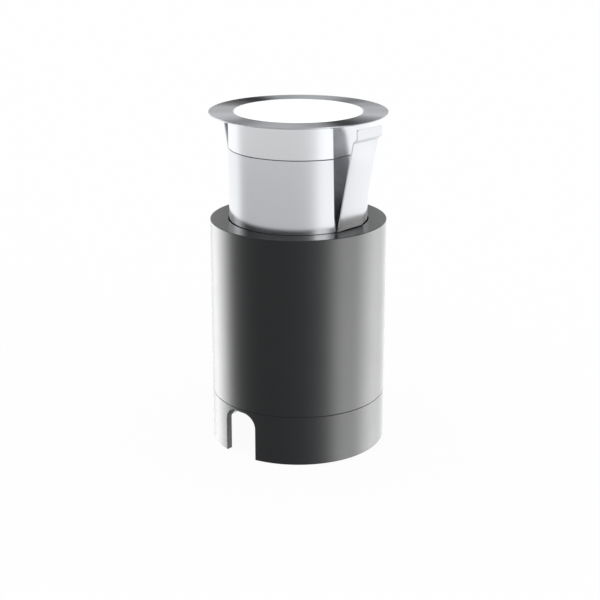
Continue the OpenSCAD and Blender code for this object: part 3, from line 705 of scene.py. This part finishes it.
# The faint emission is a painted glow that whitens the disc
opal_painted_glow, tree, skin, place = start("opal_acrylic", {
    "Base Color": linear("#fdfdfd"), "Roughness": 0.35, "IOR": 1.49, "Emission Color": linear("#ffffff"),
    "Emission Strength": 0.34})
haze = add(tree, "ShaderNodeTexNoise", {"Vector": place, "Scale": per_metre(2.5), "Detail": 2.0})
varied(tree, skin, haze.outputs[0], gloss=(0.32, 0.38), relief=(0.02, 0.1))
diffuser = turned(rounded(dropped([
    (0, 0), (diffuser_r, 0, 0.15), (diffuser_r, diffuser_end, 0.3), (0, diffuser_end)])))
finished("diffuser", shape("diffuser", diffuser), opal_painted_glow, "luminaire", "opal_acrylic", "diffuser")


# Rubber seals: O-rings of black nitrile rubber close the head and the bottom cap, a flat ring lies under
# the diffuser, and a grommet lines the hole for the leads. A little talc from the mould dulls them.
o_ring_r, o_ring_from_wall, seal_in_r, grommet_hole_r = 0.525, 0.55, 19.8, 1.55
cap_groove_drop, cap_groove_end = 49.75, 51.25
rubber, tree, skin, place = start("black_nitrile_rubber", {"Roughness": 0.62, "IOR": 1.52})
talc = add(tree, "ShaderNodeTexNoise", {"Vector": place, "Scale": per_metre(1.11), "Detail": 4.0})
varied(tree, skin, talc.outputs[0], tints=("#141415", "#2b2b2c"), relief=(0.1, 0.05))


def o_ring(wall_r, drop, end_drop):
    """An O-ring that lies against a wall, in the middle between two drops."""
    middle_r, middle_z = wall_r - o_ring_from_wall, flange_z - (drop + end_drop) / 2
    circle = every(22.5)(0)
    return turned([(middle_r + o_ring_r * math.cos(a), middle_z + o_ring_r * math.sin(a)) for a in circle])


def flat_ring(in_r, out_r, drop, end_drop, in_edge, out_edge):
    """A turned ring of rectangular section, with rounded edges inside and outside."""
    return turned(rounded(dropped([
        (in_r, drop, in_edge), (out_r, drop, out_edge), (out_r, end_drop, out_edge),
        (in_r, end_drop, in_edge)])))


seals = {
    "head_seal": o_ring(thread_r, head_groove_drop, head_groove_end),
    "cap_seal": o_ring(chamber_r, cap_groove_drop, cap_groove_end),
    "diffuser_seal": flat_ring(seal_in_r, diffuser_r, diffuser_end, ledge_drop, 0.15, 0.15),
    "lead_grommet": flat_ring(grommet_hole_r, lead_hole_r - play, web_drop, web_end_drop, 0.3, 0.1),
}
for name, form in seals.items():
    finished(name, shape(name, form), rubber, "luminaire", "rubber_black", name, sharp=40)


# Thermal pad and LED board: the pad of grey silicone carries the board's heat into the housing's web. The
# board is aluminium under a white solder mask, and three screws hold both down.
track_spacing, track_gap, track_edge = 3.6, 0.5, 0.7


def dress(name, material):
    """Gives a node of the CAD model that keeps its shape its material."""
    nodes[name].data.materials.clear()
    nodes[name].data.materials.append(material)


# Grey silicone, filled with ceramic grains of 0.7 mm
pad, tree, skin, place = start("silicone_pad", {"Roughness": 0.7, "IOR": 1.41})
fill = add(tree, "ShaderNodeTexVoronoi", {"Vector": place, "Scale": per_metre(0.714)})
varied(tree, skin, fill.outputs["Distance"], tints=("#84898e", "#a2a6a9"))
dress("thermal_pad", pad)

# White solder mask over copper tracks, which show as faint rings 3.6 mm apart
mask, tree, skin, place = start("white_solder_mask", {"Roughness": 0.34, "IOR": 1.5})
wave = add(tree, "ShaderNodeMath", {0: from_axis(tree, place), 1: track_spacing / 2 * mm},
           operation="PINGPONG")
track = add(tree, "ShaderNodeMapRange", {
    "Value": wave.outputs[0], "From Min": track_gap * mm, "From Max": track_edge * mm})
varied(tree, skin, track.outputs[0], tints=("#f2f2ee", "#e3e4df"), relief=(0.3, 0.05))
dress("led_board", mask)


# LEDs: twelve white ceramic packages, soldered to the board in two rings. Each is filled with yellow
# phosphor under its clear top.
led_drop = drops_of("led_board")[0]
led_z = flange_z - led_drop
package_l, package_w, package_h = 2.8, 3.5, 0.75
window_l, window_w, window_foot, window_top = 2.2, 2.9, 0.7, 0.8
led_rings = ((8, 10.86, 22.5), (4, 6, 45))
phosphor_z = led_z + window_top - 0.02
phosphor, tree, skin, place = start("led_phosphor", {"Roughness": 0.3, "IOR": 1.5})
height_on_piece = add(tree, "ShaderNodeSeparateXYZ", {0: place}).outputs["Z"]
is_top = add(tree, "ShaderNodeMath", {0: height_on_piece, 1: phosphor_z * mm}, operation="GREATER_THAN")
speck = add(tree, "ShaderNodeTexNoise", {"Vector": place, "Scale": per_metre(0.333)})
yellow = add(tree, "ShaderNodeMix", {0: speck.outputs[0], 6: linear("#e8c83a"), 7: linear("#f6e27a")},
             data_type="RGBA")
chip_color = add(tree, "ShaderNodeMix", {0: is_top.outputs[0], 6: linear("#efefe9"), 7: yellow.outputs[2]},
                 data_type="RGBA")
tree.links.new(chip_color.outputs[2], skin.inputs["Base Color"])
package = shape("package",
                block(centred(package_l), centred(package_w), (led_z, led_z + package_h), 0.15),
                block(centred(window_l), centred(window_w), (led_z + window_foot, led_z + window_top), 0.3))
packages = [ring_of(package, count, radius, turn, phosphor) for count, radius, turn in led_rings]
finished("leds", joined("leds", *packages), phosphor, "luminaire", "led_phosphor", "leds")


# LED board screws: three slotted pan heads of zinc-plated steel, screwed into the housing's web. The
# plating is bright and a little yellow, with fine pores, drawn 0.4 mm wide.
board_screw_count, board_screw_ring_r, first_board_screw = 3, 16.5, 60
zinc, tree, skin, place = start("zinc_plated_steel", {"Metallic": 1.0, "Roughness": 0.3})
pores = add(tree, "ShaderNodeTexNoise", {"Vector": place, "Scale": per_metre(0.4), "Detail": 3.0})
varied(tree, skin, pores.outputs[0], tints=("#b9bbb6", "#d9dbd8"), gloss=(0.22, 0.38))


def slotted(head_r, head_h, shank_r, shank_l, pitch):
    """A slotted pan-head screw that stands on its seat at the origin, head up, with threads on its shank."""
    dome_share, thread_root_share, tip_share, slot_depth_share = 0.6, 0.82, 0.6, 0.5
    seat_edge_r, first_ridge, slot_across, past_head = 0.08, 0.1, 0.5, 9
    threads = []
    for i in range(int(shank_l / pitch)):
        threads += [(shank_r, -i * pitch - first_ridge), (shank_r * thread_root_share, -(i + 0.5) * pitch)]
    outline = rounded([(0, head_h), (head_r, head_h, head_h * dome_share), (head_r, 0, seat_edge_r),
                       (shank_r, 0), *threads, (shank_r * tip_share, -shank_l), (0, -shank_l)], steps=4)
    screw = in_scene("screw", shape("screw", turned(outline, every(15))))
    slot_box = block(centred(slot_across), (-past_head, past_head), (head_h * slot_depth_share, past_head))
    cut(screw, shape("slot", slot_box))
    mesh = screw.data
    bpy.data.objects.remove(screw)
    return mesh


def placed(mesh, matrix):
    """A moved copy of a mesh."""
    copy = mesh.copy()
    copy.transform(matrix)
    return copy


board_screw = slotted(head_r=1.7, head_h=1.2, shank_r=1, shank_l=3.6, pitch=0.5)
board_screws = ring_of(placed(board_screw, Matrix.Translation((0, 0, led_z))), board_screw_count,
                       board_screw_ring_r, first_board_screw, zinc)
finished("led_board_screws", board_screws, zinc, "luminaire", "screw_steel", "led_board_screws")


# Light cup: a moulding of white polycarbonate that throws the light from the board up to the diffuser. Its
# lip rests on the housing's neck, inside the head's ledge.
cup_wall, cup_foot_r, cup_foot_drop, cup_mouth_r, cup_mouth_drop = 1.0, 13.15, 13.95, 18.35, 3.7
cup_lip_r, cup_lip_drop = 19.45, neck_drop - 1.0
white_moulding, tree, skin, place = start("white_polycarbonate", {"Roughness": 0.3, "IOR": 1.58})
flow = add(tree, "ShaderNodeTexNoise", {"Vector": place, "Scale": per_metre(8.33), "Detail": 2.0})
varied(tree, skin, flow.outputs[0], tints=("#f1f1ee", "#f8f8f6"), gloss=(0.24, 0.36))
cup = turned(rounded(dropped([
    (cup_foot_r, cup_foot_drop), (cup_foot_r + cup_wall, cup_foot_drop), (cup_mouth_r, neck_drop, 0.3),
    (cup_lip_r, neck_drop, 0.2), (cup_lip_r, cup_lip_drop, 0.2), (cup_mouth_r, cup_lip_drop, 0.2),
    (cup_mouth_r, cup_mouth_drop, 0.3), (cup_mouth_r - cup_wall, cup_mouth_drop, 0.3)])))
finished("light_cup", shape("light_cup", cup), white_moulding, "luminaire", "cup_white", "light_cup")


# Leads: two wires in red silicone insulation. They are soldered to the driver board, pass through the
# grommet, and end on the LED board's pads.
red_lead, tree, skin, place = start("red_silicone_insulation", {"Roughness": 0.45, "IOR": 1.43})
sleeve_tone = add(tree, "ShaderNodeTexNoise", {"Vector": place, "Scale": per_metre(2), "Detail": 2.0})
varied(tree, skin, sleeve_tone.outputs[0], tints=("#9c1d22", "#b92a2e"))
dress("led_leads", red_lead)


# Driver board: green glass-fibre laminate that hangs from the web on three brass spacers. Its copper
# tracks, 1 mm apart, show through the solder mask as a paler green.
driver_drop, board_end_drop = drops_of("driver_board")
spacer_count, spacer_ring_r, first_spacer = 3, 15.2, 30
spacer_w, spacer_corner_r, spacer_end_r, spacer_edge_h = 3.9, 2.25, 1.9, 0.2
stud_r, stud_drop, screw_hole_r, screw_hole_drop = 1.2, 16.8, 1.25, 22.15
laminate, tree, skin, place = start("green_solder_mask", {"Roughness": 0.3, "IOR": 1.5})
tracks = add(tree, "ShaderNodeTexBrick", {
    "Vector": place, "Color1": linear("#1d6a3a"), "Color2": linear("#23764a"), "Mortar": linear("#0f4a26"),
    "Scale": 1.0, "Mortar Size": 0.2 * mm, "Brick Width": 6 * mm, "Row Height": 1 * mm})
tree.links.new(tracks.outputs["Color"], skin.inputs["Base Color"])
track_relief = add(tree, "ShaderNodeBump", {
    "Height": tracks.outputs["Fac"], "Strength": 0.3, "Distance": 0.04 * mm}, invert=True)
tree.links.new(track_relief.outputs[0], skin.inputs["Normal"])
dress("driver_board", laminate)


def hexagonal(width, drop, end_drop):
    """The greatest radius at an angle where a turned form is cut to a hexagon between two drops."""
    def reach(a, z):
        in_hexagon = drop - hair < flange_z - z < end_drop + hair
        return width / 2 / math.cos((a % (math.pi / 3)) - math.pi / 6) if in_hexagon else uncut
    return reach


# Turned brass: warm yellow and bright, with faint tool lines across the axis, drawn 0.3 mm apart
brass, tree, skin, place = start("turned_brass", {
    "Base Color": linear("#d8b368"), "Metallic": 1.0, "Roughness": 0.25})
varied(tree, skin, tool_lines(tree, place, 12.5, 12.5, 0.286), gloss=(0.18, 0.34))
spacer = shape("spacer", turned(dropped([
    (stud_r, stud_drop), (stud_r, web_end_drop), (spacer_end_r, web_end_drop),
    (spacer_corner_r, web_end_drop + spacer_edge_h), (spacer_corner_r, driver_drop - spacer_edge_h),
    (spacer_end_r, driver_drop), (screw_hole_r, driver_drop), (screw_hole_r, screw_hole_drop),
    (0, screw_hole_drop), (0, stud_drop)]), every(15), hexagonal(spacer_w, web_end_drop, driver_drop)))
spacers = ring_of(spacer, spacer_count, spacer_ring_r, first_spacer, brass)
finished("driver_spacers", spacers, brass, "luminaire", "brass", "driver_spacers")
upside_down = Matrix.Rotation(math.pi, 4, "X")
driver_screw = placed(slotted(head_r=2, head_h=1.4, shank_r=1.2, shank_l=3.4, pitch=0.5),
                      Matrix.Translation((0, 0, flange_z - board_end_drop)) @ upside_down)
driver_screws = ring_of(driver_screw, spacer_count, spacer_ring_r, first_spacer, zinc)
finished("driver_screws", driver_screws, zinc, "luminaire", "screw_steel", "driver_screws")
dress("terminal_screws", brass)


# Capacitors: two aluminium cans in shrunk blue-black sleeves, soldered to the driver board. Each is rolled
# in near the board, and a pale minus stripe runs down its sleeve.
can_r, can_h, can_x, can_y, stripe_from_middle = 4, 11.5, -7.6, 4.7, 3.4
roll_h, roll_depth, roll_at, end_recess, end_recess_r = 0.7, 0.5, 10, 0.25, 3.1
sleeving, tree, skin, place = start("shrunk_capacitor_sleeve", {"Roughness": 0.28, "IOR": 1.53})
place_across = add(tree, "ShaderNodeSeparateXYZ", {0: place}).outputs["X"]
stripe = add(tree, "ShaderNodeMath", {0: place_across, 1: (can_x - stripe_from_middle) * mm},
             operation="LESS_THAN")
varied(tree, skin, stripe.outputs[0], tints=("#1f2d42", "#b9bec6"))
shrink = add(tree, "ShaderNodeTexNoise", {"Vector": place, "Scale": per_metre(1.43)})
varied(tree, skin, shrink.outputs[0], relief=(0.1, 0.1))
can = shape("can", turned(rounded([
    (0, end_recess), (end_recess_r, end_recess), (end_recess_r + 0.2, 0, 0.1), (can_r, 0, 0.35),
    (can_r, roll_at - roll_h, 0.3), (can_r - roll_depth, roll_at, 0.3), (can_r, roll_at + roll_h, 0.3),
    (can_r, can_h, 0.2), (0, can_h)]), every(7.5)))
can_end_z = flange_z - board_end_drop - can_h
cans = [placed(can, Matrix.Translation((can_x, y, can_end_z))) for y in (-can_y, can_y)]
finished("capacitors", joined("capacitors", *cans), sleeving, "luminaire", "capacitor_sleeve", "capacitors")


# Choke: nine turns of enamelled copper wire, 0.6 mm thick, wound on a pressed bobbin of dull grey ferrite
# that is glued to the driver board. The layers under these turns are one smooth ring.
choke_x, choke_y, choke_r, choke_h, core_r, choke_foot, choke_shoulder = 6.4, 4.2, 5, 9, 2.75, 1.4, 7.6
wire_turns, coil_r, coil_h, coil_foot, wire_r, under_coil_r = 9.0, 4.35, 5.35, 1.83, 0.3, 4.2
choke_place = Matrix.Translation((choke_x, choke_y, flange_z - board_end_drop - choke_h))
ferrite, tree, skin, place = start("pressed_ferrite", {"Roughness": 0.6, "IOR": 1.6})
powder = add(tree, "ShaderNodeTexNoise", {"Vector": place, "Scale": per_metre(0.556), "Detail": 3.0})
varied(tree, skin, powder.outputs[0], tints=("#2c2c2f", "#47474b"))
bobbin = shape("bobbin", turned(rounded([
    (0, 0), (choke_r, 0, 0.3), (choke_r, choke_foot, 0.2), (core_r, choke_foot), (core_r, choke_shoulder),
    (choke_r, choke_shoulder, 0.2), (choke_r, choke_h, 0.3), (0, choke_h)])))
finished("choke_core", placed(bobbin, choke_place), ferrite, "luminaire", "ferrite", "choke_core")

copper, tree, skin, place = start("enamelled_copper", {
    "Base Color": linear("#c9703a"), "Metallic": 1.0, "Roughness": 0.22})
varnish = add(tree, "ShaderNodeTexNoise", {"Vector": place, "Scale": per_metre(1.11), "Detail": 2.0})
varied(tree, skin, varnish.outputs[0], gloss=(0.16, 0.32))
coil, given = tree_of("wound_wire", {
    "Turns": "Float", "Coil radius": "Float", "Coil height": "Float", "Wire radius": "Float",
    "Material": "Material"})
helix = add(coil, "GeometryNodeCurveSpiral", {
    "Resolution": 40, "Rotations": given["Turns"], "Start Radius": given["Coil radius"],
    "End Radius": given["Coil radius"], "Height": given["Coil height"]})
section = add(coil, "GeometryNodeCurvePrimitiveCircle", {"Resolution": 10, "Radius": given["Wire radius"]})
wire = add(coil, "GeometryNodeCurveToMesh", {
    "Curve": helix.outputs[0], "Profile Curve": section.outputs[0], "Fill Caps": True})
ends_with(coil, wire.outputs[0], given["Material"])
turns = grown(coil, {
    "Turns": wire_turns, "Coil radius": coil_r, "Coil height": coil_h, "Wire radius": wire_r,
    "Material": copper})
under_in_r, under_foot, under_top = core_r + play, choke_foot + play, choke_shoulder - play
under_turns = shape("under_turns", turned([
    (under_in_r, under_foot), (under_coil_r, under_foot), (under_coil_r, under_top),
    (under_in_r, under_top)], every(15)))
winding = joined("choke_winding", placed(turns, choke_place @ Matrix.Translation((0, 0, coil_foot))),
                 placed(under_turns, choke_place))
finished("choke_winding", winding, copper, "luminaire", "enamelled_copper", "choke_winding", sharp=50)


# Chips and terminal block: packages of matt black epoxy, and a block moulded in green polyamide for the
# mains leads. All are soldered to the driver board.
epoxy, tree, skin, place = start("moulded_epoxy", {"Roughness": 0.55, "IOR": 1.55})
silica = add(tree, "ShaderNodeTexNoise", {"Vector": place, "Scale": per_metre(0.333), "Detail": 2.0})
varied(tree, skin, silica.outputs[0], tints=("#18181a", "#2a2a2d"))
dress("driver_chips", epoxy)
polyamide, tree, skin, place = start("green_polyamide", {"Roughness": 0.42, "IOR": 1.53})
mould_grain = add(tree, "ShaderNodeTexNoise", {"Vector": place, "Scale": per_metre(0.667), "Detail": 2.0})
varied(tree, skin, mould_grain.outputs[0], tints=("#3a7746", "#468653"))
dress("terminal_block", polyamide)


# Bottom cap: turned from the same aluminium as the housing, which it closes. Three countersunk screws
# with hexagon sockets hold it, and it carries the cable gland.
gland_thread_r, cap_groove_r, cap_end_edge = 6, 19.7, 0.4
gland_hole_r, plug_r = gland_thread_r + play, chamber_r - play
cap_hole_r, sink_r, sink_depth = 1.35, 2.6, 1.05
cap_head_drop, cap_head_r, cap_head_edge = cap_end_drop - play, 2.35, 0.05
cap_shank_r, cap_shank_drop, cap_tip_r, cap_thread_end, cap_tip_h = 1.25, 54.3, 0.8, 43, 0.55
socket_corner_r, socket_depth = 1.155, 0.6
cap_outline = rounded(dropped([
    (gland_hole_r, cap_plug_drop, 0.2), (plug_r, cap_plug_drop, 0.2), (plug_r, cap_groove_drop),
    (cap_groove_r, cap_groove_drop), (cap_groove_r, cap_groove_end), (plug_r, cap_groove_end),
    (plug_r, cap_drop), (body_r, cap_drop, body_edge), (body_r, cap_end_drop, cap_end_edge),
    (gland_hole_r, cap_end_drop, 0.2)]))
sink = shape("sink", turned(dropped([
    (0, cap_plug_drop - 1), (cap_hole_r, cap_plug_drop - 1), (cap_hole_r, cap_end_drop - sink_depth),
    (sink_r, cap_end_drop + 0.2), (0, cap_end_drop + 0.2)]), every(15)))
finished("bottom_cap", shape("bottom_cap", turned(cap_outline, beside_flats, milled)), polished, "luminaire",
         "housing_aluminium", "bottom_cap", sharp=12,
         cutter=ring_of(sink, cap_screw_count, cap_screw_ring_r, first_cap_screw, polished))
cap_screw = shape("cap_screw", turned(dropped([
    (0, cap_head_drop), (cap_head_r - cap_head_edge, cap_head_drop),
    (cap_head_r, cap_head_drop - cap_head_edge), (cap_shank_r, cap_shank_drop), (cap_shank_r, cap_thread_end),
    (cap_tip_r, cap_thread_end - cap_tip_h), (0, cap_thread_end - cap_tip_h)]), every(15)))
socket = shape("socket", turned(dropped([
    (0, cap_head_drop - socket_depth), (socket_corner_r, cap_head_drop - socket_depth),
    (socket_corner_r, cap_head_drop + socket_depth), (0, cap_head_drop + socket_depth)]), every(60)))
finished("cap_screws", ring_of(cap_screw, cap_screw_count, cap_screw_ring_r, first_cap_screw, zinc), zinc,
         "luminaire", "screw_steel", "cap_screws",
         cutter=ring_of(socket, cap_screw_count, cap_screw_ring_r, first_cap_screw, zinc))


# Cable gland: moulded in black nylon. Its body passes through the cap between a flat washer and a
# locknut, and the clamping nut squeezes the seal on the cable.
gland_w, gland_flat_r, gland_corner_r, gland_chamfer, gland_bore_r = 15, 7.5, 8.66, 0.4, 3.6
gland_top_drop, gland_mouth_drop, washer_end, body_end = 45.8, 63.55, 56.5, 61.1
locknut_drop, locknut_end, nut_drop, nut_end, seal_end = 46, 49, 61.3, 66.75, 69
gland_seal_r, gland_seal_hole_r, washer_r, nut_end_chamfer = 4.6, 3.3, 7.6, 0.45
dome_line = [(6.15, nut_end + hair), (6.15, 68.6), (5.7, 69.5), (4.9, 70)]
seal_pocket_r = gland_seal_r + play
nylon, tree, skin, place = start("black_nylon_moulding", {"Roughness": 0.4, "IOR": 1.53})
fibre = add(tree, "ShaderNodeTexNoise", {"Vector": place, "Scale": per_metre(0.909), "Detail": 3.0})
varied(tree, skin, fibre.outputs[0], tints=("#131315", "#212124"), relief=(0.1, 0.05))


def thread(r, drop, end_drop, pitch=1.5, depth=0.5):
    """Outline corners of a thread between two drops."""
    ridges = []
    for i in range(int((end_drop - drop) / pitch)):
        at = drop + i * pitch
        ridges += [(r, at), (r, at + pitch * 0.2), (r - depth, at + pitch * 0.5), (r, at + pitch * 0.8)]
    return ridges + [(r, end_drop)]


def hexagon(drop, end_drop, end_chamfer=gland_chamfer):
    """Outline corners of a chamfered hexagon between two drops."""
    return [(gland_flat_r, drop), (gland_corner_r, drop + gland_chamfer),
            (gland_corner_r, end_drop - end_chamfer), (gland_flat_r, end_drop)]


hexagons = {
    "gland_body": (washer_end, body_end, [
        (gland_bore_r, gland_top_drop), *thread(gland_thread_r, gland_top_drop, washer_end - hair),
        *hexagon(washer_end, body_end), *thread(gland_thread_r, body_end + hair, gland_mouth_drop),
        (gland_bore_r, gland_mouth_drop)]),
    "gland_locknut": (locknut_drop, locknut_end, [
        (gland_hole_r, locknut_drop), *hexagon(locknut_drop, locknut_end), (gland_hole_r, locknut_end)]),
    "gland_nut": (nut_drop, nut_end, [
        (gland_hole_r, nut_drop), *hexagon(nut_drop, nut_end, nut_end_chamfer), *dome_line,
        (gland_bore_r, dome_line[-1][1]), (gland_bore_r, seal_end), (seal_pocket_r, seal_end),
        (seal_pocket_r, gland_mouth_drop), (gland_hole_r, gland_mouth_drop)]),
}
for name, (drop, end_drop, corners) in hexagons.items():
    outline = [Vector(corner) for corner in dropped(corners)]
    form = turned(outline, every(5), hexagonal(gland_w, drop, end_drop))
    finished(name, shape(name, form), nylon, "luminaire", "gland_black", name, sharp=25)
washer = flat_ring(gland_hole_r, washer_r, cap_end_drop, washer_end, 0.1, 0.3)
gland_seal = flat_ring(gland_seal_hole_r, gland_seal_r, gland_mouth_drop, seal_end, 0.5, 0.2)
for name, form in (("gland_washer", washer), ("gland_seal", gland_seal)):
    finished(name, shape(name, form), rubber, "luminaire", "rubber_black", name, sharp=40)


# Leaf springs: each is one strip of bright rolled spring steel. Its foot is screwed to a flat, its blade
# stands out and holds the light in its hole, and its tab is stepped outward under the flange.
leaf_w, leaf_t, tilt = 12.2, 0.5, math.radians(11.7)
blade_drop, tab_drop, tab_h, tab_step, foot_end_drop = 6.3, 1.8, 3.2, 1.5, 50.3
crown_h, crown_from, crown_full, crown_fades, crown_to = 0.45, 39, 36.9, 14, 7
hinge_x, half_bend = flat_r + leaf_t / 2, 0.6
blade_x = hinge_x + (hinge_drop - blade_drop) * math.tan(tilt)
tab_x = blade_x + tab_step
leaf_line = rounded(dropped([
    (flat_x(flange_z - foot_end_drop) + leaf_t / 2, foot_end_drop), (hinge_x, hinge_drop, 1.5),
    (blade_x, blade_drop, 0.6), (tab_x, tab_drop + tab_h, 0.5), (tab_x, tab_drop)]), closed=False)


def eased(share):
    """A share kept between 0 and 1, with a soft start and end."""
    share = min(max(share, 0), 1)
    return share**2 * (3 - 2 * share)


def crown(z):
    """How far a leaf's middle stands out past its edges at a height: only its blade is rolled hollow."""
    drop = flange_z - z
    above_foot = eased((crown_from - drop) / (crown_from - crown_full))
    below_tab = eased((drop - crown_to) / (crown_fades - crown_to))
    return crown_h * above_foot * below_tab


def strip(line, width, thickness, side, end_r=0.5, step=1.0, columns=14):
    """A strip of even thickness along a line in x and z, with rounded corners at both of its ends."""
    path = [line[0]]
    for there in line[1:]:
        here = path[-1]
        pieces = max(1, round((there - here).length / step))
        path += [here.lerp(there, (i + 1) / pieces) for i in range(pieces)]
    backs = [end_r * (1 - math.cos(math.radians(angle))) for angle in range(15, 91, 15)]
    first, last = (path[1] - path[0]).normalized(), (path[-2] - path[-1]).normalized()
    path = ([path[0]] + [path[0] + first * back for back in backs] + path[2:-2]
            + [path[-1] + last * back for back in reversed(backs)] + [path[-1]])
    lengths = [0.0]
    for a, b in zip(path, path[1:]):
        lengths.append(lengths[-1] + (b - a).length)
    places, faces = [], []
    for i, (x, z) in enumerate(path):
        along = (path[min(i + 1, len(path) - 1)] - path[max(i - 1, 0)]).normalized()
        out = Vector((along.y, -along.x)) * thickness / 2
        from_corner = max(0, end_r - min(lengths[i], lengths[-1] - lengths[i]))
        half = width / 2 - end_r + math.sqrt(max(0, end_r**2 - from_corner**2))
        for face in (1, -1):
            for c in range(columns + 1):
                y = half * (2 * c / columns - 1)
                lift = crown(z) * (1 - (2 * y / width) ** 2)
                places.append((side * (x + face * out.x + lift), side * y, z + face * out.y))
    back, row = columns + 1, 2 * (columns + 1)
    for i in range(len(path) - 1):
        for a in [i * row + f + c for c in range(columns) for f in (0, back)]:
            faces.append((a, a + 1, a + row + 1, a + row))
        for a in (i * row, i * row + columns):
            faces.append((a, a + back, a + row + back, a + row))
    for i in (0, len(path) - 1):
        for a in range(i * row, i * row + columns):
            faces.append((a, a + 1, a + back + 1, a + back))
    return places, faces


# Bright spring steel: a mirror with fine rolling lines along the strip, 0.1 mm apart and drawn 0.5 mm apart
spring_steel, tree, skin, place = start("rolled_spring_steel", {
    "Base Color": linear("#eeeeef"), "Metallic": 1.0, "Roughness": 0.16})
varied(tree, skin, tool_lines(tree, place, 5, 0.5, 16.7), gloss=(0.2, 0.28))

# Its inner face, which faces the body, is a darker grey than the outer one: painted shade for the shade
# between leaf and body, in soft clouds 4 mm wide
inner_face_painted_shade, tree, skin, place = start("steel_with_painted_shade", {"Metallic": 1.0, "Roughness": 0.24})
clouds = add(tree, "ShaderNodeTexNoise", {"Vector": place, "Scale": per_metre(4), "Detail": 2.0})
varied(tree, skin, clouds.outputs[0], tints=("#aaaaae", "#bababe"))
for side, name in ((1, "right"), (-1, "left")):
    bent = shape("leaf", strip(leaf_line, leaf_w, leaf_t, side))
    leaf = finished(f"leaf_spring_{name}", bent, spring_steel, None, "spring_steel", f"spring_foot_{name}",
                    f"spring_blade_{name}")
    # The inner faces take the darker grey of painted shade
    resurfaced(leaf, inner_face_painted_shade, lambda face: face.normal.x * side < -0.3)
    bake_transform(leaf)


# Spring screws: two slotted screws of zinc-plated steel hold each leaf's foot to its flat. They reach
# through the wall into the lugs.
spring_screw_drops = (40.85, 47.05)
to_the_side = Matrix.Rotation(math.pi / 2, 4, "Y")
spring_screw = slotted(head_r=1.8, head_h=0.65, shank_r=0.8, shank_l=3.1, pitch=0.4)
seats = [(flat_x(flange_z - drop) + leaf_t + play, 0, flange_z - drop) for drop in spring_screw_drops]
pair = joined("pair", *[placed(spring_screw, Matrix.Translation(seat) @ to_the_side) for seat in seats])
finished("spring_screws", ring_of(pair, 2, 0, 0, zinc), zinc, "luminaire", "screw_steel", "spring_screws")
